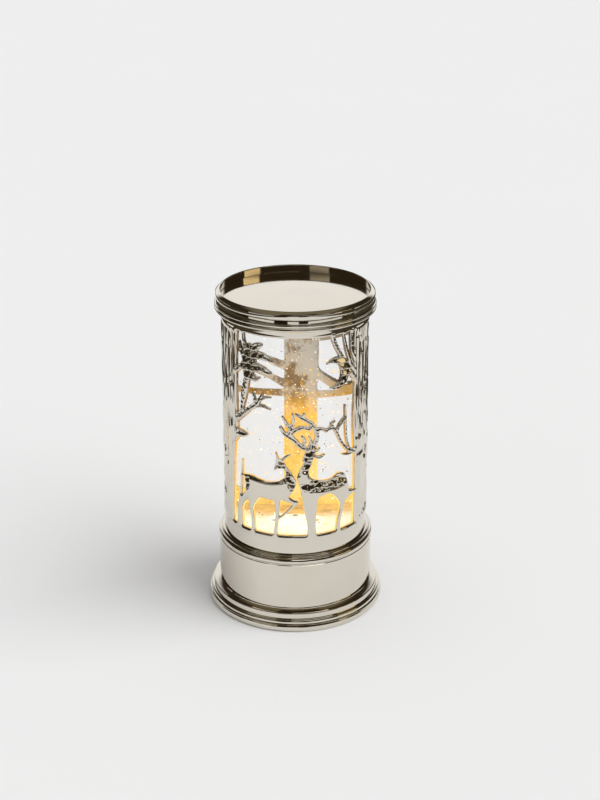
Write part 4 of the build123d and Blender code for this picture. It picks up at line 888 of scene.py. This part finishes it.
def clipped_edge(edge):
    """The part of a trunk's edge between the opening's bottom and top, from the top down."""
    points = curve_through(edge, 6)
    kept = points[(points[:, 1] > opening_bottom) & (points[:, 1] < opening_top)]
    ends = [np.interp(level, points[::-1, 1], points[::-1, 0]) for level in (opening_top, opening_bottom)]
    return [(ends[0], opening_top)] + [tuple(p) for p in kept] + [(ends[1], opening_bottom)]


print("points of the doe's outline:", len(curve_through(doe_body, closed=True)))


# %% Windows and figures, joined into one field of metal
def soften(first, second, width=0.8):
    """The larger of two fields, with the corner between them filled in."""
    overlap = np.clip(width - np.abs(first - second), 0.0, None) / width
    return np.maximum(first, second) + overlap ** 2 * width / 4


def join(total, shapes, combine):
    for columns_in, rows_in, field in shapes:
        part = np.ix_(columns_in, rows_in)
        total[part] = combine(total[part], field)
    return total


def rear_window(side):
    """One of the two windows behind, on the side of +X (-1) or of -X (1)."""
    near, far = sorted([rear_trunk_edges[0] if side > 0 else rear_trunk_edges[1], side * rear_window_edge])
    edges = [[(arc, opening_top), (arc, opening_bottom)] for arc in (near, far)]
    return window_field(*edges, shift=-side * rear_arc)


empty = np.full((columns, rows), outside)
front_window = window_field(clipped_edge(left_trunk_edge), clipped_edge(right_trunk_edge))
openings = join(empty.copy(), [front_window, rear_window(1), rear_window(-1)], np.maximum)
shapes = [limb_field(nodes) for nodes in front_limbs]
shapes += [limb_field(nodes, -rear_arc) for nodes in rear_boughs]
shapes += [limb_field(nodes, rear_arc) for nodes in rear_crown]
shapes += [outline_field(curve_through(body, closed=True), 5) for body in (doe_body, stag_body)]
figures = join(empty.copy(), shapes + [crescent_field()], soften)
moon_inside = join(empty.copy(), [crescent_field()], np.maximum)

edge_gap = 0.04
gaps = join(empty.copy(), [limb_field(nodes) for nodes in side_gaps], np.maximum)
inside = -soften(-soften(-openings, figures), gaps, 0.5)
inside = np.where(np.abs(inside) < edge_gap, np.where(inside < 0, -edge_gap, edge_gap), inside)
print("share of the sheet that is metal:", round(float((inside > 0).mean()), 3))


# %% Swelling: a soap film over each shape, held at its edge
swell = 1.7
stiffness = math.sqrt(2) / swell


def beside_in(field, axis, way):
    """Each point's neighbour. The sheet has no seam, and at its top and bottom a point is its own."""
    beside = np.roll(field, -way, axis=axis)
    if axis == 1:
        last = -1 if way > 0 else 0
        beside[:, last] = field[:, last]
    return beside


def swelling(field, rounds=140):
    """Solves for the height over a shape: round over a limb, and level on a wide area."""
    metal = field > 0
    sides = []
    for axis, step in ((0, arc_step), (1, height_step)):
        for way in (1, -1):
            beside = beside_in(field, axis, way)
            cut = metal & (beside <= 0)
            share = np.where(cut, np.clip(field / np.where(cut, field - beside, 1.0), 0.08, 1.0), 1.0)
            sides.append((axis, way, share * step, ~cut))
    weights = []
    for first, second in ((0, 1), (2, 3)):
        gap_a, gap_b = sides[first][2], sides[second][2]
        weights += [2 / (gap_a * (gap_a + gap_b)), 2 / (gap_b * (gap_a + gap_b))]
    total = stiffness ** 2 + sum(weights)
    film = np.where(metal, 0.3, 0.0)
    for _ in range(rounds):
        pull = 1.0
        for (axis, way, _, open_side), weight in zip(sides, weights):
            pull = pull + weight * beside_in(film, axis, way) * open_side
        film = np.where(metal, pull / total, 0.0)
    return film


film = swelling(inside)
print("swelling up to", round(float(np.sqrt(2 * film.max())), 3), "mm")

# %% [markdown]
# ## Carving
# Bark, fur, feathers and folds are cut into the swollen sheet as depths in millimetres. Polished metal
# shows dark where it leans back, because it then reflects the dark room, and pale where it stands
# upright and reflects the floor. So the dark strokes of the picture are slopes, not paint.


# %% Random hills and soft masks over the sheet
def soft_noise(cell_arc, cell_height, seed):
    """Smooth random hills from -1 to 1 over the whole sheet, without a seam."""
    across = max(3, round(turn_length / cell_arc))
    up = max(3, round((sleeve_top - sleeve_bottom) / cell_height) + 2)
    hills = np.random.default_rng(seed).uniform(-1, 1, (across, up))
    place_a = (grid_arc / turn_length + 0.5) * across
    place_h = (grid_height - sleeve_bottom) / cell_height
    a0, h0 = np.floor(place_a).astype(int), np.floor(place_h).astype(int)
    fa, fh = place_a - a0, place_h - h0
    fa, fh = (fa * fa * (3 - 2 * fa))[:, None], (fh * fh * (3 - 2 * fh))[None, :]
    corner = lambda i, j: hills[np.ix_((a0 + i) % across, np.minimum(h0 + j, up - 1))]
    low = corner(0, 0) * (1 - fa) + corner(1, 0) * fa
    high = corner(0, 1) * (1 - fa) + corner(1, 1) * fa
    return low * (1 - fh) + high * fh


def smooth_step(value, low, high):
    share = np.clip((value - low) / (high - low), 0.0, 1.0)
    return share * share * (3 - 2 * share)


arcs, heights = np.meshgrid(grid_arc, grid_height, indexing="ij")


def patch(arc, height, half_arc, half_height, soft=0.35):
    """1 inside an ellipse of the drawing, falling softly to 0 round it."""
    away = np.hypot((arcs - arc) / half_arc, (heights - height) / half_height)
    return 1 - smooth_step(away, 1 - soft, 1 + soft)


def band(value, low, high, soft=1.5):
    """1 between low and high, falling softly to 0 outside."""
    return smooth_step(value, low - soft, low + soft) * (1 - smooth_step(value, high - soft, high + soft))


print("noise from", round(float(soft_noise(14, 26, 11).min()), 2))

# %% Bark
fold_spacing, fold_depth = 4.1, 1.05
bark_spacing, bark_depth = 3.1, 1.6
ripple_depth = 0.35
knot_depth = 0.9
# Places of rough bark: (strength, low arc, high arc, low height, high height, softness up and down)
rough_places = [
    (1.2, 40.0, 70.0, 130.0, 208.0, 5.0),
    (1.0, -82.0, -54.0, 192.0, 208.0, 3.0),
    (0.3, -74.0, -58.0, 96.0, 150.0, 8.0),
]
meander = 1.6 * soft_noise(14, 26, 11) + 0.7 * soft_noise(6, 11, 12)


def folds(spacing, narrow, wide):
    """Vertical furrows that wander: 1 in the furrow and 0 between."""
    place = (arcs + meander) / spacing
    place = np.abs(place - np.floor(place) - 0.5) * 2
    return 1 - smooth_step(place, narrow, wide)


in_scene = smooth_step(heights, 67.0, 71.0) * (1 - smooth_step(heights, 204.0, 208.0))
trunk = smooth_step(-openings, 0.5, 3.0) * in_scene
rough_bark = sum(
    strength * band(arcs, low_arc, high_arc) * band(heights, low, high, soft)
    for strength, low_arc, high_arc, low, high, soft in rough_places
)
folded = smooth_step(soft_noise(11, 24, 13), -0.55, 0.35)
broken = smooth_step(soft_noise(5, 17, 22), -0.9, -0.2)
carved = fold_depth * trunk * folded * folds(fold_spacing, 0.08, 0.62)
carved += bark_depth * trunk * rough_bark * folds(bark_spacing, 0.12, 0.7) * broken
carved += ripple_depth * trunk * (soft_noise(3.2, 9.0, 14) + 0.4)
carved += knot_depth * trunk * smooth_step(soft_noise(5.5, 6.5, 15), 0.52, 0.8)
print("bark up to", round(float(carved.max()), 2), "mm deep")

# %% Fur, feathers, the moon and the limbs
row_height, row_depth = 4.8, 2.1
limb_row_height, limb_row_depth = 2.8, 0.76
limb_lean = 1.0
doe_back_slope = 0.42
# Owl, stag's back, doe's rump, and the necks of doe and stag: (arc, height, half arc, half height)
dark_places = [
    (-33.0, 190.0, 9.0, 13.0),
    (22.0, 103.8, 18.0, 5.0),
    (-36.6, 101.5, 3.0, 5.5),
    (-9.5, 117.0, 2.5, 4.0),
    (-5.8, 111.5, 2.6, 4.5),
    (-2.6, 105.5, 2.4, 4.5),
    (7.5, 118.0, 3.0, 5.0),
    (10.0, 123.5, 3.4, 5.0),
    (12.5, 129.0, 3.6, 4.5),
]


def steps_back(rise_height, wander, depth):
    """Slopes that fall back with height and start again, like rows of fur or feathers."""
    place = (heights - wander) / rise_height
    return depth * (place - np.floor(place))


moon_share = smooth_step(moon_inside, -1.5, 0.0)
furry = np.max([patch(*place, 0.22) for place in dark_places], axis=0)
dark = np.maximum(furry, moon_share)
tufts = 0.45 * soft_noise(2.4, 2.4, 16) + 0.25 * soft_noise(1.4, 1.5, 17)
fur_rows = steps_back(row_height, 1.5 * soft_noise(4.0, 6.0, 18), row_depth)
carved += dark * (fur_rows + (1 - moon_share) * tufts)
over_opening = smooth_step(openings, -0.5, 1.0) * (1 - moon_share) * (1 - dark)
thin = over_opening * smooth_step(heights, 108.0, 124.0)
limb_rows = steps_back(limb_row_height, 1.6 * soft_noise(3.0, 3.0, 21), limb_row_depth)
carved += thin * (limb_rows * smooth_step(soft_noise(4, 4, 24), -0.6, 0.2) + 0.25 * soft_noise(1.5, 1.5, 23))
upward = np.clip(-np.gradient(inside, axis=1) / height_step, -1, 1)
limbs = over_opening * smooth_step(heights, 108.0, 116.0)
carved += limb_lean * limbs * smooth_step(upward, -0.7, 0.7)
carved += doe_back_slope * patch(-22.0, 106.8, 13.0, 2.4) * (heights - 104.4)
print("carved up to", round(float(carved.max()), 2), "mm deep")

# %% The depth's limits, the bead under the deer and the plain bands
deepest, proudest = 2.2, -0.05
bead_height, bead_half_width, bead_rise = 65.3, 0.9, 0.6
band_radius, relief_height = 49.4, 0.6
bead = np.exp(-((heights - bead_height) / bead_half_width) ** 2) * band(arcs, -52.0, 52.0)
bead *= 1 - smooth_step(figures, -0.8, 0.6)
carved = np.clip(carved, proudest, deepest) - bead_rise * bead
in_relief = smooth_step(heights, 64.8, 66.9) * (1 - smooth_step(heights, 208.1, 210.3))
level_top = band_radius + relief_height * in_relief
print("sheet from", band_radius, "to", round(float(level_top.max()), 2), "mm from the axis")

# %% [markdown]
# ## The sheet
# The grid becomes triangles. Those that the edge of the metal crosses are cut along it, so the edge is
# smooth although the grid is coarse, and the round rim gets two more cuts. Then the sheet is rolled up,
# gets an inner side and side walls, and is kept as six closed sectors.


# %% Triangles, cut along the edge of the metal
rim_cuts = (0.10, 0.32)


def split(points, triangles, values, level):
    """Cuts triangles where values pass level. Points is an array whose columns are carried along."""
    above = values > level
    count = above[triangles].sum(axis=1)
    whole = triangles[(count == 0) | (count == 3)]
    crossed = triangles[(count == 1) | (count == 2)]
    if len(crossed) == 0:
        return points, triangles
    lone_side = above[crossed].sum(axis=1) == 1
    lone = np.argmax(above[crossed] == lone_side[:, None], axis=1)
    turn = (lone[:, None] + np.arange(3)) % 3
    a, b, c = np.take_along_axis(crossed, turn, axis=1).T
    edges = np.sort(np.concatenate([np.stack([a, b], 1), np.stack([a, c], 1)]), axis=1)
    edges, which = np.unique(edges, axis=0, return_inverse=True)
    which = which.ravel()
    share = (level - values[edges[:, 0]]) / (values[edges[:, 1]] - values[edges[:, 0]])
    new_points = points[edges[:, 0]] + share[:, None] * (points[edges[:, 1]] - points[edges[:, 0]])
    on_ab, on_ac = which[:len(a)] + len(points), which[len(a):] + len(points)
    points = np.vstack([points, new_points])
    made = [np.stack(corners, 1) for corners in ([a, on_ab, on_ac], [on_ab, b, c], [on_ab, c, on_ac])]
    return points, np.vstack([whole] + made)


def keep_used(points, triangles):
    """The numbers of the points in use, those points, and the triangles numbered anew."""
    used, numbers = np.unique(triangles, return_inverse=True)
    return used, points[used], numbers.reshape(triangles.shape)


def sheet_triangles(first, last):
    """Points (arc, height, inside, film, carved, top) and triangles of the columns first to last."""
    numbers = np.arange(first, last + 1)
    wrapped = numbers % columns
    arc = (numbers / columns - 0.5) * turn_length
    grids = [np.repeat(arc[:, None], rows, 1), np.repeat(grid_height[None, :], len(arc), 0)]
    grids += [layer[wrapped] for layer in (inside, film, carved, level_top)]
    points = np.stack([grid.ravel() for grid in grids], axis=1)
    i, j = np.meshgrid(np.arange(len(arc) - 1), np.arange(rows - 1), indexing="ij")
    corner = (i * rows + j).ravel()
    right, top, both = corner + rows, corner + 1, corner + rows + 1
    even = ((i + j) % 2 == 0).ravel()[:, None]
    first_half = np.where(even, np.stack([corner, right, both], 1), np.stack([corner, right, top], 1))
    second_half = np.where(even, np.stack([corner, both, top], 1), np.stack([right, both, top], 1))
    triangles = np.vstack([first_half, second_half])
    points, triangles = split(points, triangles, points[:, 2], 0.0)
    triangles = triangles[points[triangles, 2].mean(axis=1) > 0]
    points[np.abs(points[:, 2]) < 1e-9, 3] = 0.0
    for level in rim_cuts:
        points, triangles = split(points, triangles, points[:, 2], level)
    return keep_used(points, triangles)[1:]


print("triangles of ten columns:", len(sheet_triangles(300, 310)[1]))


# %% Rolling the sheet up
def outer_radius(points):
    """The swollen and carved surface; the carving fades out towards the rim of a shape."""
    swollen = np.sqrt(2 * np.clip(points[:, 3], 0, None))
    level = np.clip(swollen / swell, 0, 1)
    return points[:, 5] - swell + swollen - points[:, 4] * smooth_step(level, 0.15, 0.75) * level


def rolled(points, radius):
    angle = points[:, 0] / drawn_radius
    return np.stack([radius * np.sin(angle), -radius * np.cos(angle), points[:, 1]], axis=1) * mm


def face_normals(places, faces):
    a, b, c = (places[faces[:, k]] for k in range(3))
    return np.cross(b - a, c - a)


def unit(vectors):
    return vectors / np.linalg.norm(vectors, axis=1, keepdims=True).clip(1e-15)


def point_normals(places, triangles):
    total = np.zeros_like(places)
    for k in range(3):
        np.add.at(total, triangles[:, k], face_normals(places, triangles))
    return unit(total)


def side_walls(triangles, count):
    """Walls between the border of the outer side and that of the inner side, count points on."""
    sides = np.vstack([triangles[:, [0, 1]], triangles[:, [1, 2]], triangles[:, [2, 0]]])
    key = np.sort(sides, axis=1) @ np.array([count, 1])
    _, first_place, times = np.unique(key, return_index=True, return_counts=True)
    start, end = sides[first_place[times == 1]].T
    halves = ([start, start + count, end + count], [start, end + count, end])
    return np.vstack([np.stack(corners, 1) for corners in halves])


# %% The six sectors of the sleeve
sector_names = ("sleeve_rear_left", "sleeve_side_left", "sleeve_front_left",
                "sleeve_front_right", "sleeve_side_right", "sleeve_rear_right")
margin = 2


def make_sector(name, first, last):
    """Part of the sleeve as a closed mesh. Its smooth shading comes from a slightly wider sheet."""
    wide_points, wide_triangles = sheet_triangles(first - margin, last + margin)
    places = rolled(wide_points, outer_radius(wide_points))
    low, high = ((number / columns - 0.5) * turn_length for number in (first, last))
    middle = wide_points[wide_triangles, 0].mean(axis=1)
    used, points, triangles = keep_used(wide_points, wide_triangles[(middle > low) & (middle < high)])
    outer, normals = places[used], point_normals(places, wide_triangles)[used]
    corners = np.vstack([outer, rolled(points, inner_radius)])
    count = len(points)
    back, walls = triangles[:, ::-1], side_walls(triangles, count)
    mesh = bpy.data.meshes.new(name)
    mesh.from_pydata(corners.tolist(), [], np.vstack([triangles, back + count, walls]).tolist())
    inward = -unit(rolled(points, 1.0) * (1, 1, 0))
    wall_normals = np.repeat(unit(face_normals(corners, walls)), 3, axis=0)
    normals = np.vstack([normals[triangles].reshape(-1, 3), inward[back].reshape(-1, 3), wall_normals])
    mesh.attributes.new("inner", "FLOAT", "POINT").data.foreach_set("value", np.repeat([0.0, 1.0], count))
    mesh.shade_smooth()
    mesh.normals_split_custom_set(normals.tolist())
    place_piece(keep_object(name, mesh, sleeve_nickel), "lantern", "plated_relief", "scene_sleeve")


limits = [round(number * columns / len(sector_names)) for number in range(len(sector_names) + 1)]
for name, first, last in zip(sector_names, limits, limits[1:]):
    make_sector(name, first, last)
print("columns of each sector:", limits)

# %% [markdown]
# ## Water and clear wall
# The cylinder is glued up from a clear wall and a clear floor, and it is full of water. Wall and water
# bend light almost alike, so the two are one solid here, and the light crosses no needless boundary.
# The full cylinder is a strong lens: it widens what stands behind it about twice.

# %% The clear column
column = round_corners(
    [(0.0, 57.5), (44.02, 57.5), (44.02, 49.6), (46.5, 49.6), (46.5, 214.0), (44.02, 214.0),
     (44.02, 208.9), (0.0, 208.9)],
    [0, 0, 0, 0.2, 0.2, 0.2, 0, 0],
)
clear_column = lathe("clear_column", column, clear_water, 192)
clear_column.visible_shadow = False
place_piece(clear_column, "lantern", "clear_acrylic", "tank_wall", "water_fill")


# %% [markdown]
# ## Glitter
# Flakes drift in the water and lie on its floor. They are far too many to place by hand, so a
# Geometry Nodes tree scatters one small plate over points of the water and turns each its own way.

# %% Flakes by Geometry Nodes
voxel_size = 2.0 * mm
flake_sides = 6
flake_thickness = 0.06
smallest_flake, largest_flake = 0.55, 1.3
full_turns = (6.283, 6.283, 6.283)


def make_flake(tree):
    """A closed six-sided plate, half a unit in radius, with 8 faces."""
    face = add_node(
        tree, "GeometryNodeMeshCircle", fill_type="NGON", inputs={"Vertices": flake_sides, "Radius": 0.5}
    ).outputs[0]
    thick = add_node(tree, "GeometryNodeExtrudeMesh", inputs={"Mesh": face, "Offset Scale": flake_thickness})
    back = add_node(tree, "GeometryNodeFlipFaces", inputs={"Mesh": face})
    whole = add_node(tree, "GeometryNodeJoinGeometry", inputs={0: thick.outputs[0]})
    tree.links.new(back.outputs[0], whole.inputs[0])
    return add_node(tree, "GeometryNodeMergeByDistance", inputs={"Geometry": whole.outputs[0]}).outputs[0]


def make_flake_tree(points_density, flake_size, seed):
    tree = bpy.data.node_groups.new("drifting_flakes", "GeometryNodeTree")
    tree.is_modifier = True
    tree.interface.new_socket("Geometry", in_out="INPUT", socket_type="NodeSocketGeometry")
    for name, kind, default in (("Density", "NodeSocketFloat", points_density),
                                ("Flake size", "NodeSocketFloat", flake_size),
                                ("Seed", "NodeSocketInt", seed)):
        tree.interface.new_socket(name, in_out="INPUT", socket_type=kind).default_value = default
    tree.interface.new_socket("Geometry", in_out="OUTPUT", socket_type="NodeSocketGeometry")
    given = add_node(tree, "NodeGroupInput").outputs
    volume = add_node(
        tree, "GeometryNodeMeshToVolume", resolution_mode="VOXEL_SIZE",
        inputs={"Mesh": given["Geometry"], "Voxel Size": voxel_size},
    )
    scattered = add_node(
        tree, "GeometryNodeDistributePointsInVolume",
        inputs={"Volume": volume.outputs[0], "Density": given["Density"], "Seed": given["Seed"]},
    )
    spin = add_node(
        tree, "FunctionNodeRandomValue", data_type="FLOAT_VECTOR", inputs={"Seed": 3, "Max": full_turns}
    )
    grow = add_node(
        tree, "FunctionNodeRandomValue", data_type="FLOAT",
        inputs={"Seed": 4, 2: smallest_flake, 3: largest_flake},
    )
    copies = add_node(
        tree, "GeometryNodeInstanceOnPoints",
        inputs={"Points": scattered.outputs[0], "Instance": make_flake(tree),
                "Rotation": spin.outputs["Value"],
                "Scale": multiply(tree, grow.outputs[1], given["Flake size"])},
    )
    hue = add_node(tree, "FunctionNodeRandomValue", data_type="FLOAT", inputs={"Seed": 5})
    marked = add_node(
        tree, "GeometryNodeStoreNamedAttribute", data_type="FLOAT", domain="INSTANCE",
        inputs={"Geometry": copies.outputs[0], "Name": "glint", "Value": hue.outputs[1]},
    )
    real = add_node(tree, "GeometryNodeRealizeInstances", inputs={"Geometry": marked.outputs[0]})
    dressed = add_node(
        tree, "GeometryNodeSetMaterial", inputs={"Geometry": real.outputs[0], "Material": glitter_flakes}
    )
    add_node(tree, "NodeGroupOutput", inputs={"Geometry": dressed.outputs[0]})
    return tree


def scatter_flakes(name, profile, density, flake_size, seed):
    """Fills a turned shape with flakes and keeps them as a plain mesh."""
    holder = lathe(name + "_space", profile, clear_water, 48)
    modifier = holder.modifiers.new("flakes", "NODES")
    modifier.node_group = make_flake_tree(density, flake_size, seed)
    ready = holder.evaluated_get(bpy.context.evaluated_depsgraph_get())
    mesh = bpy.data.meshes.new_from_object(ready)
    mesh.name = name
    bpy.data.objects.remove(holder, do_unlink=True)
    place_piece(keep_object(name, mesh, None), "lantern", None)


scatter_flakes(
    "drifting_glitter", [(0.0, 80.0), (42.0, 80.0), (42.0, 204.0), (0.0, 204.0)], 3.4e6, 0.80 * mm, 5
)
scatter_flakes(
    "settled_glitter", [(17.0, 60.0), (42.5, 60.0), (42.5, 80.0), (17.0, 80.0)], 4.0e6, 0.9 * mm, 8
)

# %% [markdown]
# ## The CAD pieces that keep their shape
# Everything inside the base, the clear floor and the small hardware keep the shape that the CAD gave
# them and only get materials.

# %% Materials for the CAD nodes
node_materials = {
    black_moulding: ["base_plate", "battery_door", "battery_box", "chassis", "switch_housing",
                     "switch_slider"],
    white_moulding: ["drive_rotor"],
    lit_moulding: ["reflector", "impeller"],
    lid_moulding: ["tank_lid"],
    lit_bed: ["tank_floor"],
    black_rubber: ["floor_seal", "lid_seal", "filler_plug", "foot_pads"],
    green_board: ["lamp_board", "control_board"],
    chip_epoxy: ["control_chip"],
    can_sleeve: ["capacitor"],
    cell_wrap: ["batteries"],
    lead_skin: ["battery_leads", "lamp_leads", "motor_leads"],
    lamp_dome: ["lamps"],
    zinc_steel: ["base_screws", "chassis_screws", "control_screws", "door_screws", "motor_screws",
                 "motor_shaft", "impeller_pin", "battery_springs"],
    magnet_plate: ["drive_magnets", "impeller_magnets"],
    motor_can: ["motor_body"],
    contact_brass: ["battery_contacts", "switch_terminals"],
}
for material, names in node_materials.items():
    for name in names:
        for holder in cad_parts[name].material_slots:
            holder.material = material
print("CAD nodes dressed:", sum(len(names) for names in node_materials.values()))

# %% [markdown]
# ## Floor
# One pale sheet, large enough that its far edge is the backdrop. Only reflections see a dark cloth on
# it, well to the right and to the left of the lantern, which gives the plating its dark edges.

# %% Floor
sheet_middle, sheet_size = 2.0, 12.0
cloth_color = (0.060, 0.048, 0.029)
cloth_slant = 0.25
right_cloth, left_cloth = (0.32, 0.39), (-0.38, -0.46)
floor_material, tree, shader = new_material("studio_floor")
place = object_place(tree)
speckle = noise(tree, place, 3.0, 3.0)
feed(tree, shader, Base_Color=blend_colors(tree, speckle, (0.850, 0.850, 0.848), (0.862, 0.862, 0.860)))
shader.inputs["Roughness"].default_value = 1.0
shader.inputs["Specular IOR Level"].default_value = 0.0
x, y, _ = split_axes(tree, place)
slanted = arithmetic(tree, "MULTIPLY_ADD", arithmetic(tree, "ADD", y, sheet_middle), cloth_slant, x)
beside = larger(tree, rise(tree, slanted, *right_cloth), rise(tree, x, *left_cloth))
reflected = add_node(tree, "ShaderNodeLightPath").outputs["Is Glossy Ray"]
cloth = add_node(tree, "ShaderNodeEmission", inputs={"Color": solid(cloth_color), "Strength": 1.0}).outputs[0]
shown = mix_shaders(tree, multiply(tree, beside, reflected), shader.outputs[0], cloth)
output = next(node for node in tree.nodes if node.type == "OUTPUT_MATERIAL")
tree.links.new(shown, output.inputs[0])
bpy.ops.mesh.primitive_plane_add(size=sheet_size, location=(0.0, sheet_middle, 0.0))
floor_sheet = bpy.context.object
floor_sheet.name = "studio_floor"
floor_sheet.data.materials.append(floor_material)
floor_sheet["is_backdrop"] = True
print("floor sheet:", sheet_size, "m wide")

# %% [markdown]
# ## Sizes
# The box of the CAD model and the box of the dressed lantern are both printed. The dressed
# lantern has to stay inside the box of its CAD model.

# %% Sizes of both boxes
bpy.context.view_layer.update()
dressed_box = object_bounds()
({"cad": [list(map(float, corner)) for corner in cad_box],
     "dressed": [list(map(float, corner)) for corner in dressed_box]})
print("CAD box", cad_box)
print("dressed box", dressed_box)
